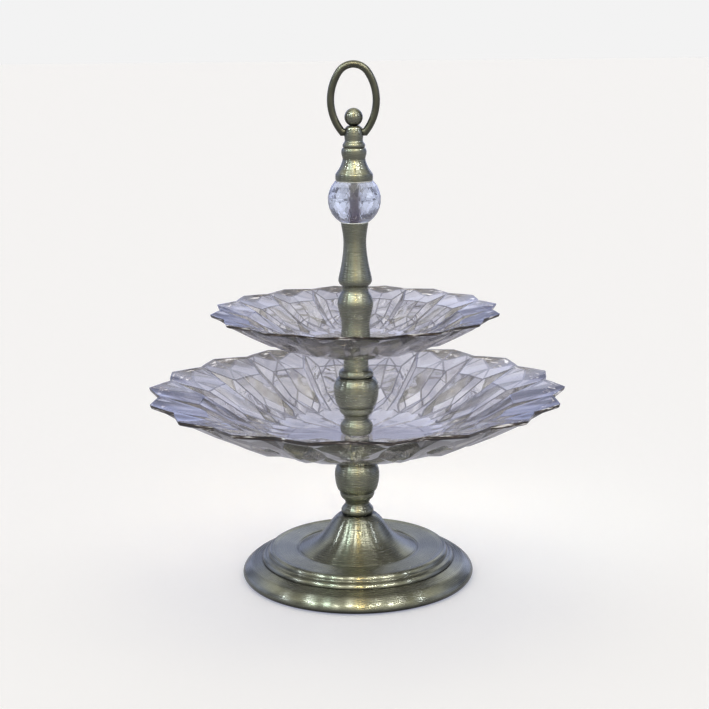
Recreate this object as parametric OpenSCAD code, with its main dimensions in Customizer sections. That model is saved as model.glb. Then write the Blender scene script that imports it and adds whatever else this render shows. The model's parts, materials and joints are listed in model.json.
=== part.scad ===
// Two-tier cake stand: pressed-glass bowls clamped on a turned metal column.
// Millimetres, +Z up, origin on the table under the middle of the base.

/* [Base] */
// Radius of the rolled rim of the base
base_r = 84.4; // [78:0.2:100]
// Height of the rolled rim above the table
rim_lift = 0.8; // [0.5:0.1:1.5]
// Height where the skirt meets the lowest ridge
skirt_h = 12; // [10.5:0.1:13]
// Radius where the skirt meets the lowest ridge
skirt_top_r = 74.4; // [73:0.1:75.5]
// Radius of the middle ridge
ridge_mid_r = 70.2; // [69.4:0.1:71]
// Radius of the top ridge
ridge_top_r = 65.8; // [65:0.1:66.6]
// Height of the flat deck above the table
deck_h = 20.6; // [19.8:0.1:21.2]
// Radius at the foot of the cone
cone_foot_r = 42.5; // [36:0.5:50]
// Radius at the shoulder of the cone
shoulder_r = 19.3; // [17.6:0.1:23.2]
// Height of the cone shoulder above the table
shoulder_h = 39.8; // [37:0.2:42]
// Height of the whole base
base_h = 46.2; // [45:0.2:52]
// Wall of the base pressing
base_wall = 1.2; // [0.8:0.1:1.4]
// Radius of the felt pad under the base
felt_r = 76; // [66:0.5:79]
// Thickness of the cover board
cover_t = 1.2; // [0.8:0.1:2]
// Radius of the stiffening disc under the deck
stiffener_r = 58; // [46:0.5:60]
// Thickness of the stiffening disc
stiffener_t = 3; // [2:0.5:4]
// Radius of the spacer tube inside the cone
spacer_r = 7; // [5.5:0.1:9]

/* [Tie rod] */
// Radius of the rod through the whole stand
rod_r = 3; // [2.5:0.05:3.3]
// Radial gap between the rod and the column pieces
rod_gap = 0.3; // [0.15:0.05:0.5]
// Radial gap between the rod and the parts threaded on it
thread_gap = 0.05; // [0.02:0.01:0.08]
// Height of the lower end of the rod above the table
rod_foot_h = 5; // [4:0.1:8]
// Length of rod screwed into the bell cap
rod_engage = 8; // [5:0.5:9]
// Radius of the rod washer
washer_r = 9; // [7:0.5:14]
// Thickness of the rod washer
washer_t = 1.6; // [1:0.1:2.5]
// Nut size across its flats
nut_flats = 10; // [9:0.5:13]
// Nut height
nut_t = 5; // [4:0.25:6]

/* [Column pieces] */
// Height of the foot bead under the lower bowl
lower_bead_h = 11.2; // [10:0.1:14]
// Height of the foot bead above the lower bowl
middle_bead_h = 14; // [12.5:0.1:18]
// Widest radius of the foot bead
bead_r = 11.8; // [11:0.1:12.6]
// Waist radius of the foot bead
waist_r = 8.7; // [8:0.1:9.4]
// Height of the cup ring
cup_h = 5.8; // [5:0.1:7]
// Widest radius of the cup ring
cup_r = 12.65; // [12:0.05:13.2]
// Height of the urn
urn_h = 21.6; // [18:0.1:26]
// Widest radius of the urn
urn_r = 16.25; // [15:0.05:19.5]
// Height of the collar bead
collar_h = 5.2; // [4.4:0.1:6.2]
// Widest radius of the collar bead
collar_r = 12.6; // [11.6:0.1:13.6]
// Height of the neck under each bowl
neck_h = 7; // [6:0.1:10]
// Radius of the neck
neck_r = 8.9; // [8.2:0.1:10]
// Height added to the neck under the upper bowl
upper_neck_extra = 6.4; // [4:0.1:9]

/* [Bowl mounting] */
// Outer radius of the bush each bowl turns on
bush_r = 5; // [4.4:0.1:6]
// Radial running gap between the bush and the bowl
bush_gap = 0.08; // [0.05:0.01:0.1]
// Gap between a bowl and each of its gaskets
turn_gap = 0.3; // [0.25:0.05:0.4]
// Thickness of each gasket
gasket_t = 0.7; // [0.5:0.05:1.2]
// Outer radius of each gasket
gasket_r = 8.4; // [7:0.1:8.8]

/* [Lower bowl] */
// Number of points round the rim of the lower bowl
lower_points = 18; // [14:1:22]
// Radius over the points of the lower bowl
lower_tip_r = 150; // [132:0.5:180]
// Depth of the notches between the points of the lower bowl
lower_notch = 9.6; // [6:0.2:12]
// Radius of the flat floor of the lower bowl
lower_floor_r = 52; // [46:0.5:58]
// Glass thickness of the floor of the lower bowl
lower_floor_t = 8; // [6.5:0.1:9.5]
// Rise of the rim of the lower bowl above its floor
lower_rise = 34.7; // [28:0.1:41]
// Turn of the lower bowl about the column in degrees
lower_turn = -1.68; // [-10:0.02:10]

/* [Upper bowl] */
// Number of points round the rim of the upper bowl
upper_points = 16; // [12:1:20]
// Radius over the points of the upper bowl
upper_tip_r = 103.4; // [92:0.2:124]
// Depth of the notches between the points of the upper bowl
upper_notch = 6.8; // [4:0.2:9]
// Radius of the flat floor of the upper bowl
upper_floor_r = 36; // [32:0.5:40]
// Glass thickness of the floor of the upper bowl
upper_floor_t = 6; // [5:0.1:7.5]
// Rise of the rim of the upper bowl above its floor
upper_rise = 23.7; // [19.8:0.1:28.4]
// Turn of the upper bowl about the column in degrees
upper_turn = 9.3; // [0:0.1:22.4]

/* [Glass pattern] */
// Thickness of the glass at the rim as a share of the floor thickness
rim_share = 0.34; // [0.28:0.01:0.45]
// Half width of each kite as a share of the pitch
kite_half = 0.34; // [0.28:0.01:0.4]
// Half width of each small diamond as a share of the pitch
diamond_half = 0.27; // [0.2:0.01:0.32]
// Where the kites end, as a share of the way from floor to rim
kite_foot_run = 0.345; // [0.32:0.005:0.37]
// How high the kites end, as a share of the rise
kite_foot_rise = 0.28; // [0.25:0.005:0.31]
// Where the kites are widest, as a share of the way from floor to rim
kite_wide_run = 0.62; // [0.58:0.005:0.66]
// How high the kites are where widest, as a share of the rise
kite_wide_rise = 0.74; // [0.7:0.005:0.77]
// Where the kites begin, as a share of the way from floor to rim
kite_top_run = 0.93; // [0.91:0.005:0.94]
// How high the kites begin, as a share of the rise
kite_top_rise = 0.945; // [0.92:0.005:0.95]
// How far the petals under the bowl hang below its general underside
petal_drop = 4.2; // [2:0.1:5]

/* [Upper stem] */
// Height of the baluster above the upper bowl
baluster_h = 39.7; // [34:0.1:48]
// Radius of the foot of the baluster
baluster_foot_r = 10.6; // [9.6:0.1:12]
// Widest radius of the baluster
baluster_r = 12.8; // [11.6:0.1:15]
// Height of the trumpet neck
trumpet_h = 44.8; // [38:0.1:54]
// Widest radius of the trumpet neck
trumpet_r = 11.9; // [10.6:0.1:13.6]
// Narrowest radius of the trumpet neck
trumpet_waist_r = 8.05; // [7.2:0.05:9]
// Radius of the top of the trumpet neck
trumpet_top_r = 9.7; // [9.2:0.05:10.6]

/* [Crystal ball] */
// Radius of the crystal ball
ball_r = 18.7; // [16.4:0.1:22]
// Height between the two flats of the crystal ball
ball_h = 28.4; // [24:0.1:30]
// Share of the ball height that lies below its middle
ball_low_share = 0.546; // [0.48:0.001:0.56]
// Thickness of the washer under and over the ball
seat_t = 0.6; // [0.4:0.1:1]
// Number of facets round the ball
ball_facets = 22; // [16:2:30]
// Radial gap between the rod and the ball
ball_gap = 0.2; // [0.1:0.05:0.4]

/* [Top handle] */
// Radius of the band of the bell cap
bell_r = 13.1; // [12:0.1:15]
// Height of the bell cap
bell_h = 14.9; // [13:0.1:18]
// Radius of the top of the bell cap
bell_top_r = 8; // [7.4:0.1:8.8]
// Height of the bead on the bell cap
cap_bead_h = 7.5; // [6.6:0.1:9]
// Widest radius of the bead on the bell cap
cap_bead_r = 8.8; // [8.4:0.05:9.6]
// Height of the thin collar under the barrel
cap_collar_h = 3.8; // [3:0.1:4.5]
// Radius of the thin collar under the barrel
cap_collar_r = 7.8; // [7.2:0.05:8.2]
// Height of the barrel that holds the ring
barrel_h = 11.4; // [10.4:0.1:13.5]
// Radius of the barrel that holds the ring
barrel_r = 6.6; // [5.8:0.05:7]
// Height of the ring hole above the foot of the barrel
ring_hole_h = 7; // [6:0.1:7.2]
// Radius of the round finial
finial_r = 6.4; // [5.6:0.1:7.2]
// Radius of the stud that joins the cap pieces
stud_r = 2; // [1.6:0.1:2.4]
// Radius of the ring wire
wire_r = 2.55; // [2.2:0.05:2.8]
// Radial running gap between the ring wire and its hole
wire_gap = 0.1; // [0.05:0.01:0.1]
// Half width of the oval ring at the wire centre
oval_half_w = 15.8; // [15:0.1:19]
// Bend radius of the ends of the oval ring
oval_end_r = 12.1; // [10:0.1:12.6]
// Height of the oval ring at the wire centre
oval_h = 48.8; // [44:0.1:56]

/* [Hidden] */
// Pieces of the stand in the order they are stacked
turn_fn = 96;
small_fn = 48;
curve_steps = 4;
brass = [0.5, 0.48, 0.36];
steel = [0.6, 0.6, 0.62];
glass_tint = [0.75, 0.77, 0.85, 0.6];
rubber_tint = [0.85, 0.85, 0.82];
felt_tint = [0.12, 0.16, 0.13];

// Heights of the stacked pieces, from the table up
lower_cup_z = base_h + lower_bead_h;
lower_urn_z = lower_cup_z + cup_h;
lower_collar_z = lower_urn_z + urn_h;
lower_neck_z = lower_collar_z + collar_h;
lower_seat_z = lower_neck_z + neck_h;
lower_bowl_z = lower_seat_z + gasket_t + turn_gap;
lower_floor_z = lower_bowl_z + lower_floor_t;
lower_over_z = lower_floor_z + turn_gap;
middle_bead_z = lower_over_z + gasket_t;
middle_cup_z = middle_bead_z + middle_bead_h;
middle_urn_z = middle_cup_z + cup_h;
middle_collar_z = middle_urn_z + urn_h;
middle_neck_z = middle_collar_z + collar_h;
upper_neck_h = neck_h + upper_neck_extra;
upper_seat_z = middle_neck_z + upper_neck_h;
upper_bowl_z = upper_seat_z + gasket_t + turn_gap;
upper_floor_z = upper_bowl_z + upper_floor_t;
upper_over_z = upper_floor_z + turn_gap;
baluster_z = upper_over_z + gasket_t;
trumpet_z = baluster_z + baluster_h;
seat_low_z = trumpet_z + trumpet_h;
ball_z = seat_low_z + seat_t;
ball_mid_z = ball_z + ball_h * ball_low_share;
seat_high_z = ball_z + ball_h;
bell_z = seat_high_z + seat_t;
cap_bead_z = bell_z + bell_h;
cap_collar_z = cap_bead_z + cap_bead_h;
barrel_z = cap_collar_z + cap_collar_h;
ring_z = barrel_z + ring_hole_h;
barrel_top_z = barrel_z + barrel_h;
finial_sink = 0.5;
finial_z = barrel_top_z + finial_r - finial_sink;
rod_top_z = bell_z + rod_engage;
bore_r = rod_r + rod_gap;
thread_r = rod_r + thread_gap;
seat_low_r = sqrt(pow(ball_r, 2) - pow(ball_h * ball_low_share, 2));
seat_high_r = sqrt(pow(ball_r, 2) - pow(ball_h * (1 - ball_low_share), 2));

// Levels inside the base
cover_z = rim_lift;
deck_under = deck_h - base_wall;
stiffener_z = deck_under - stiffener_t;
washer_z = stiffener_z - washer_t;
nut_z = washer_z - nut_t;
cap_under = base_h - base_wall;
lip_inner_r = base_r - 4.6;
cover_r = lip_inner_r;
board_hole_r = nut_flats;

// Point on a smooth curve through four keys
function blend_point(a, b, c, d, t) =
    0.5 * (2 * b + (c - a) * t + (2 * a - 5 * b + 4 * c - d) * pow(t, 2)
    + (3 * b - a - 3 * c + d) * pow(t, 3));

// Smooth profile through a list of radius and height keys
function smooth(keys) = concat(
    [for (i = [0 : len(keys) - 2]) for (j = [0 : curve_steps - 1])
        blend_point(keys[max(i - 1, 0)], keys[i], keys[i + 1],
            keys[min(i + 2, len(keys) - 1)], j / curve_steps)],
    [keys[len(keys) - 1]]);

// Arc of a circle in the profile plane
function arc(r, z, size, from, to, steps) =
    [for (i = [0 : steps]) let (a = from + (to - from) * i / steps)
        [r + size * cos(a), z + size * sin(a)]];

// Profile turned about the column axis with a round bore
module turned(outline, bore, low, high) {
    rotate_extrude($fn = turn_fn)
        polygon(concat(outline, [[bore, high], [bore, low]]));
}

// Flat ring about the column axis
module flat_ring(outer, inner, low, high) {
    rotate_extrude($fn = turn_fn)
        polygon([[inner, low], [outer, low], [outer, high], [inner, high]]);
}

// Outside of the base from the rolled rim to the crown
ridge_low_r = skirt_top_r;
ridge_round = 3.4;
ridge_step = (deck_h - skirt_h) / 2;
crown_r = 10.9;
rim_roll = 1.4;
groove_w = 1.4;
groove_d = 0.6;
edge_bead = 0.5;
skirt_keys = [[base_r - rim_roll, rim_lift],
    [base_r - rim_roll / 5, rim_lift + 1.6],
    [base_r, rim_lift + 3.4],
    [base_r - 1.2, rim_lift + 6],
    [base_r - 4, rim_lift + 8.6],
    [(base_r + ridge_low_r) / 2 - 1.6, skirt_h - 0.9],
    [ridge_low_r, skirt_h]];
cone_keys = [[cone_foot_r, deck_h - 0.1],
    [cone_foot_r - 8, deck_h + 4],
    [shoulder_r + 7.6, deck_h + 9.4],
    [shoulder_r + 2.6, shoulder_h - 3.8],
    [shoulder_r, shoulder_h],
    [shoulder_r - 3, base_h - 3],
    [shoulder_r - 5.6, base_h - 0.9],
    [crown_r, base_h]];
base_outline = concat(
    smooth(skirt_keys),
    arc(ridge_mid_r - ridge_round + 3.6, skirt_h - ridge_round + 1.3, ridge_round, 78, 100, 2),
    arc(ridge_mid_r - ridge_round, skirt_h + ridge_step - ridge_round + 0.5, ridge_round, 0, 84, 5),
    arc(ridge_top_r - ridge_round, deck_h + edge_bead - ridge_round, ridge_round, 0, 90, 5),
    [[ridge_top_r - ridge_round - groove_w, deck_h],
     [cone_foot_r + 2 * groove_w, deck_h],
     [cone_foot_r + groove_w, deck_h - groove_d],
     [cone_foot_r + groove_w / 2, deck_h - groove_d]],
    smooth(cone_keys));
inner_outline = [[bore_r, cap_under],
    [crown_r - 1, cap_under],
    [shoulder_r - 5, base_h - 3.4],
    [shoulder_r - 1.9, shoulder_h - 1.2],
    [shoulder_r + 1.2, shoulder_h - 5],
    [shoulder_r + 6.2, deck_h + 7.6],
    [cone_foot_r - 9, deck_h + 2.4],
    [cone_foot_r - 1, deck_under],
    [ridge_top_r - ridge_round, deck_under],
    [ridge_top_r - base_wall - 0.4, deck_h - ridge_round],
    [ridge_top_r - base_wall, skirt_h + ridge_step - 1.6],
    [ridge_mid_r - base_wall - 1, skirt_h + 1.4],
    [ridge_mid_r - base_wall, skirt_h - base_wall - 0.6],
    [ridge_low_r, skirt_h - base_wall - 0.4],
    [base_r - 5.6, rim_lift + 7],
    [base_r - base_wall - 0.6, rim_lift + 3.2],
    [base_r - base_wall - 1.4, rim_lift + base_wall],
    [lip_inner_r, rim_lift + base_wall],
    [lip_inner_r, rim_lift]];

// Spun metal base: rolled skirt, three ridges, deck and cone
module base_shell() {
    color(brass)
        rotate_extrude($fn = turn_fn)
            polygon(concat(base_outline, [[bore_r, base_h]], inner_outline));
}

// Soft pad the stand rests on
module felt_pad() {
    color(felt_tint) flat_ring(felt_r, board_hole_r, 0, cover_z);
}

// Board that closes the underside of the base
module base_cover() {
    color([0.3, 0.26, 0.2]) flat_ring(cover_r, board_hole_r, cover_z, cover_z + cover_t);
}

// Steel disc that keeps the deck flat
module base_stiffener() {
    color(steel) flat_ring(stiffener_r, bore_r, stiffener_z, deck_under);
}

// Tube that carries the clamping load up to the crown of the cone
module base_spacer() {
    color(steel) flat_ring(spacer_r, bore_r, deck_under, cap_under);
}

// Washer between the stiffening disc and the nut
module rod_washer() {
    color(steel) flat_ring(washer_r, bore_r, washer_z, stiffener_z);
}

// Hexagon nut at the foot of the rod
module rod_nut() {
    color(steel)
        difference() {
            translate([0, 0, nut_z])
                cylinder(r = nut_flats / sqrt(3), h = nut_t, $fn = 6);
            translate([0, 0, nut_z - 1])
                cylinder(r = thread_r, h = nut_t + 2, $fn = small_fn);
        }
}

// Rod that clamps the base, the column and the bell cap together
module tie_rod() {
    color(steel)
        translate([0, 0, rod_foot_h])
            cylinder(r = rod_r, h = rod_top_z - rod_foot_h, $fn = small_fn);
}

// Bead with a groove and a waist; the extra height goes into its lower part
module foot_bead(low, tall) {
    high = low + tall;
    waist_z = high - 3.6;
    groove_z = waist_z - 2.9;
    belly_z = (low + groove_z) / 2 - 0.1;
    color(brass)
        turned(concat(
            smooth([[bead_r - 1.2, low],
                [bead_r - 0.5, low + 0.7],
                [bead_r, belly_z],
                [bead_r - 0.25, groove_z - 0.9],
                [bead_r - 0.95, groove_z]]),
            smooth([[bead_r - 1.15, groove_z + 0.3],
                [(bead_r + waist_r) / 2 - 0.5, groove_z + 1.5],
                [waist_r, waist_z],
                [waist_r + 0.2, high - 2.2],
                [waist_r + 0.9, high - 0.7],
                [waist_r + 1.3, high]])), bore_r, low, high);
}

// Shallow cup under the urn
module cup_ring(low) {
    high = low + cup_h;
    color(brass)
        turned(smooth([[waist_r + 1.3, low],
            [cup_r - 1.5, low + cup_h * 0.14],
            [cup_r - 0.6, low + cup_h * 0.38],
            [cup_r - 0.15, low + cup_h * 0.66],
            [cup_r, low + cup_h * 0.92],
            [cup_r - 0.3, high]]), bore_r, low, high);
}

// Egg-shaped urn of the column
module urn(low) {
    high = low + urn_h;
    color(brass)
        turned(smooth([[cup_r - 0.1, low],
            [urn_r - 2.6, low + urn_h * 0.04],
            [urn_r - 1.55, low + urn_h * 0.13],
            [urn_r - 0.75, low + urn_h * 0.27],
            [urn_r - 0.25, low + urn_h * 0.42],
            [urn_r, low + urn_h * 0.6],
            [urn_r - 0.35, low + urn_h * 0.74],
            [urn_r - 1.05, low + urn_h * 0.84],
            [urn_r - 2.2, low + urn_h * 0.93],
            [urn_r - 4, high]]), bore_r, low, high);
}

// Round collar bead over the urn
module collar_bead(low) {
    high = low + collar_h;
    color(brass)
        turned(smooth([[collar_r - 1.3, low],
            [collar_r - 0.35, low + collar_h * 0.17],
            [collar_r, low + collar_h * 0.45],
            [collar_r - 0.4, low + collar_h * 0.76],
            [collar_r - 1.5, high]]), bore_r, low, high);
}

// Slim neck that carries a bowl
module neck(low, tall) {
    high = low + tall;
    color(brass)
        turned(smooth([[neck_r + 0.8, low],
            [neck_r + 0.15, low + 1],
            [neck_r, low + tall / 2],
            [neck_r + 0.1, high - 1],
            [neck_r + 0.2, high]]), bore_r, low, high);
}

// Soft ring under or over a bowl
module gasket(low) {
    color(rubber_tint) flat_ring(gasket_r, bush_r, low, low + gasket_t);
}

// Plastic bush that a bowl turns on
module bush(low, high) {
    color(rubber_tint) flat_ring(bush_r, bore_r, low, high);
}

// Spacing of the pattern angles inside one pitch, in degrees
function column_angle(half, pitch, c) =
    c == 0 ? 0 : c == 1 ? half * pitch : c == 2 ? pitch / 2 : (1 - half) * pitch;

// One ring of pattern points; a, b and c are the run and height on the
// point line, beside it and on the notch line
function pattern_ring(points, turn, half, a, b, c) =
    let (pitch = 360 / points)
    [for (i = [0 : points - 1]) for (k = [0 : 3])
        let (angle = turn + i * pitch + column_angle(half, pitch, k))
        let (p = k == 0 ? a : k == 2 ? c : b)
        [p[0] * cos(angle), p[0] * sin(angle), p[1]]];

// Triangles between two neighbouring rings; lean picks the diagonal that
// starts on the point line
function ring_faces(start, count, lean) =
    [for (i = [0 : count - 1])
        let (k = i % 4)
        let (n = (i + 1) % count)
        let (a = start + i)
        let (b = start + n)
        let (c = start + count + n)
        let (d = start + count + i)
        let (first = (k == 0 || k == 2) == (lean == (k < 2)))
        each (first ? [[a, b, c], [a, c, d]] : [[a, b, d], [b, c, d]])];

// Pressed-glass bowl with kites and diamonds above and petals below
module glass_bowl(low, points, turn, tip_r, notch, floor_r, floor_t, rise, bore) {
    floor_z = low + floor_t;
    run = tip_r - floor_r;
    rim_t = floor_t * rim_share;
    valley_r = tip_r - notch;
    side_r = tip_r - notch * kite_half * 2;
    count = 4 * points;
    foot_r = floor_r - 1.5;
    drop = petal_drop * floor_t / lower_floor_t;
    // Above: floor edge, diamonds, kites, rim
    above = [
        [diamond_half, [floor_r, floor_z], [floor_r, floor_z], [floor_r, floor_z]],
        [diamond_half, [floor_r + run * 0.1, floor_z + rise * 0.03],
            [floor_r + run * 0.13, floor_z + rise * 0.075],
            [floor_r + run * 0.11, floor_z + rise * 0.05]],
        [diamond_half, [floor_r + run * 0.21, floor_z + rise * 0.1],
            [floor_r + run * 0.2, floor_z + rise * 0.15],
            [floor_r + run * 0.21, floor_z + rise * 0.12]],
        [kite_half, [floor_r + run * kite_foot_run, floor_z + rise * kite_foot_rise],
            [floor_r + run * (kite_foot_run + 0.005), floor_z + rise * (kite_foot_rise + 0.02)],
            [floor_r + run * (kite_foot_run + 0.02), floor_z + rise * (kite_foot_rise - 0.03)]],
        [kite_half, [floor_r + run * (kite_wide_run - 0.02), floor_z + rise * (kite_wide_rise + 0.03)],
            [floor_r + run * kite_wide_run, floor_z + rise * kite_wide_rise],
            [floor_r + run * (kite_wide_run + 0.07), floor_z + rise * (kite_wide_rise - 0.05)]],
        [kite_half, [floor_r + run * kite_top_run, floor_z + rise * kite_top_rise],
            [side_r - run * 0.075, floor_z + rise * (kite_top_rise - 0.015)],
            [valley_r - run * 0.06, floor_z + rise * (kite_top_rise - 0.005)]],
        [kite_half, [tip_r, floor_z + rise], [side_r, floor_z + rise * 0.99],
            [valley_r, floor_z + rise * 0.985]]];
    // Below: rim, petal roots, petals, foot
    below = [
        [kite_half, [tip_r - 0.8, floor_z + rise - rim_t],
            [side_r - 0.8, floor_z + rise * 0.985 - rim_t],
            [valley_r - 0.8, floor_z + rise * 0.98 - rim_t]],
        [kite_half, [floor_r + run * 0.82, floor_z + rise * 0.86 - floor_t * 0.5],
            [floor_r + run * 0.8, floor_z + rise * 0.8 - floor_t * 0.5],
            [floor_r + run * 0.79, floor_z + rise * 0.78 - floor_t * 0.55]],
        [kite_half, [floor_r + run * 0.62, floor_z + rise * 0.68 - floor_t * 0.72],
            [floor_r + run * 0.61, floor_z + rise * 0.56 - floor_t * 0.72],
            [floor_r + run * 0.6, floor_z + rise * 0.53 - floor_t * 0.75]],
        [kite_half, [floor_r + run * 0.46, floor_z + rise * 0.47 - floor_t * 0.8],
            [floor_r + run * 0.42, floor_z + rise * 0.4 - floor_t * 0.8 - drop * 0.7],
            [floor_r + run * 0.41, floor_z + rise * 0.4 - floor_t * 0.8 - drop]],
        [kite_half, [floor_r + run * 0.32, floor_z + rise * 0.26 - floor_t * 0.85],
            [floor_r + run * 0.3, floor_z + rise * 0.24 - floor_t * 0.85],
            [floor_r + run * 0.29, floor_z + rise * 0.23 - floor_t * 0.9]],
        [kite_half, [floor_r + run * 0.12, floor_z + rise * 0.05 - floor_t * 0.82],
            [floor_r + run * 0.12, floor_z + rise * 0.05 - floor_t * 0.86],
            [floor_r + run * 0.12, floor_z + rise * 0.04 - floor_t * 0.84]],
        [kite_half, [foot_r, low], [foot_r, low], [foot_r, low]]];
    levels = concat(above, below);
    last = (len(levels) - 1) * count;
    corners = [for (l = levels) each pattern_ring(points, turn, l[0], l[1], l[2], l[3])];
    sides = [for (l = [0 : len(levels) - 2])
        each ring_faces(l * count, count, l != 4 && l != 8 && l != 10)];
    floor_face = [[for (i = [0 : count - 1]) i]];
    foot_face = [[for (i = [count - 1 : -1 : 0]) last + i]];
    color(glass_tint)
        difference() {
            polyhedron(points = corners, convexity = 6,
                faces = concat([for (f = sides) [f[2], f[1], f[0]]],
                    [for (f = floor_face) [for (i = [count - 1 : -1 : 0]) f[i]]],
                    [for (f = foot_face) [for (i = [count - 1 : -1 : 0]) f[i]]]));
            translate([0, 0, low - 1])
                cylinder(r = bore, h = floor_t + 2, $fn = small_fn);
        }
}

// Wide bowl of the lower tier
module lower_bowl() {
    glass_bowl(lower_bowl_z, lower_points, lower_turn, lower_tip_r, lower_notch,
        lower_floor_r, lower_floor_t, lower_rise, bush_r + bush_gap);
}

// Small bowl of the upper tier
module upper_bowl() {
    glass_bowl(upper_bowl_z, upper_points, upper_turn, upper_tip_r, upper_notch,
        upper_floor_r, upper_floor_t, upper_rise, bush_r + bush_gap);
}

// Vase-shaped baluster standing in the upper bowl
module baluster() {
    high = baluster_z + baluster_h;
    color(brass)
        turned(smooth([[baluster_foot_r + 0.2, baluster_z],
            [baluster_foot_r - 0.1, baluster_z + baluster_h * 0.12],
            [baluster_foot_r - 0.6, baluster_z + baluster_h * 0.27],
            [baluster_foot_r, baluster_z + baluster_h * 0.4],
            [baluster_r - 1, baluster_z + baluster_h * 0.53],
            [baluster_r, baluster_z + baluster_h * 0.66],
            [baluster_r - 0.4, baluster_z + baluster_h * 0.745],
            [baluster_r - 1.7, baluster_z + baluster_h * 0.83],
            [baluster_r - 3.1, baluster_z + baluster_h * 0.89],
            [baluster_r - 3.5, baluster_z + baluster_h * 0.94],
            [baluster_r - 3.4, high]]), bore_r, baluster_z, high);
}

// Flared neck under the crystal ball
module trumpet_neck() {
    high = trumpet_z + trumpet_h;
    color(brass)
        turned(smooth([[baluster_r - 3.4, trumpet_z],
            [trumpet_r - 1.1, trumpet_z + trumpet_h * 0.025],
            [trumpet_r - 0.2, trumpet_z + trumpet_h * 0.06],
            [trumpet_r, trumpet_z + trumpet_h * 0.1],
            [trumpet_r - 0.6, trumpet_z + trumpet_h * 0.175],
            [trumpet_r - 1.6, trumpet_z + trumpet_h * 0.27],
            [trumpet_waist_r + 1.45, trumpet_z + trumpet_h * 0.365],
            [trumpet_waist_r + 0.4, trumpet_z + trumpet_h * 0.53],
            [trumpet_waist_r, trumpet_z + trumpet_h * 0.69],
            [trumpet_waist_r + 0.45, trumpet_z + trumpet_h * 0.83],
            [trumpet_top_r - 0.3, trumpet_z + trumpet_h * 0.95],
            [trumpet_top_r, high]]), bore_r, trumpet_z, high);
}

// Ring of corners on the ball at one latitude
function ball_ring(latitude, shift) =
    [for (i = [0 : ball_facets - 1])
        let (a = (i + shift) * 360 / ball_facets)
        [ball_r * cos(latitude) * cos(a), ball_r * cos(latitude) * sin(a),
            ball_mid_z + ball_r * sin(latitude)]];

// Faceted crystal ball with two flats and a bore
module crystal_ball() {
    low_angle = -asin(ball_h * ball_low_share / ball_r);
    high_angle = asin(ball_h * (1 - ball_low_share) / ball_r);
    bands = 6;
    corners = [for (k = [0 : bands])
        each ball_ring(low_angle + (high_angle - low_angle) * k / bands, (k % 2) / 2)];
    sides = [for (k = [0 : bands - 1]) for (i = [0 : ball_facets - 1])
        let (n = (i + 1) % ball_facets)
        let (s = k * ball_facets)
        let (t = s + ball_facets)
        each (k % 2 == 0 ? [[s + i, t + i, s + n], [t + i, t + n, s + n]]
            : [[s + i, t + i, t + n], [s + i, t + n, s + n]])];
    color([0.7, 0.75, 0.9, 0.6])
        difference() {
            polyhedron(points = corners, convexity = 4,
                faces = concat(sides,
                    [[for (i = [0 : ball_facets - 1]) i]],
                    [[for (i = [ball_facets - 1 : -1 : 0]) bands * ball_facets + i]]));
            translate([0, 0, ball_z - 1])
                cylinder(r = rod_r + ball_gap, h = ball_h + 2, $fn = small_fn);
        }
}

// Thin washer under or over the ball
module ball_seat(low, r) {
    color(rubber_tint) flat_ring(r - 0.8, bore_r, low, low + seat_t);
}

// Bell-shaped cap over the ball, bored for the rod below and the stud above
module bell_cap() {
    high = bell_z + bell_h;
    color(brass)
        rotate_extrude($fn = turn_fn)
            polygon(concat(smooth([[bell_r - 0.3, bell_z],
                [bell_r, bell_z + 0.5],
                [bell_r, bell_z + bell_h * 0.27],
                [bell_r - 0.9, bell_z + bell_h * 0.38],
                [bell_r - 2.6, bell_z + bell_h * 0.54],
                [bell_top_r + 1.15, bell_z + bell_h * 0.72],
                [bell_top_r + 0.2, bell_z + bell_h * 0.9],
                [bell_top_r, high]]),
                [[stud_r + thread_gap, high],
                 [stud_r + thread_gap, rod_top_z],
                 [thread_r, rod_top_z],
                 [thread_r, bell_z]]));
}

// Rounded bead on the bell cap
module cap_bead() {
    high = cap_bead_z + cap_bead_h;
    color(brass)
        turned(smooth([[bell_top_r - 0.15, cap_bead_z],
            [cap_bead_r - 0.5, cap_bead_z + cap_bead_h * 0.22],
            [cap_bead_r - 0.1, cap_bead_z + cap_bead_h * 0.45],
            [cap_bead_r, cap_bead_z + cap_bead_h * 0.7],
            [cap_bead_r - 0.35, cap_bead_z + cap_bead_h * 0.9],
            [cap_bead_r - 1, high]]), stud_r + thread_gap, cap_bead_z, high);
}

// Thin collar under the barrel
module cap_collar() {
    high = cap_collar_z + cap_collar_h;
    color(brass)
        turned(smooth([[cap_collar_r - 0.5, cap_collar_z],
            [cap_collar_r, cap_collar_z + cap_collar_h * 0.3],
            [cap_collar_r, cap_collar_z + cap_collar_h * 0.65],
            [barrel_r + 0.2, high]]), stud_r + thread_gap, cap_collar_z, high);
}

// Stud that joins the bell cap, bead, collar and barrel
stud_top_z = ring_z - wire_r - wire_gap - 0.8;
module cap_stud() {
    color(steel)
        translate([0, 0, rod_top_z])
            cylinder(r = stud_r, h = stud_top_z - rod_top_z, $fn = small_fn);
}

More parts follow.
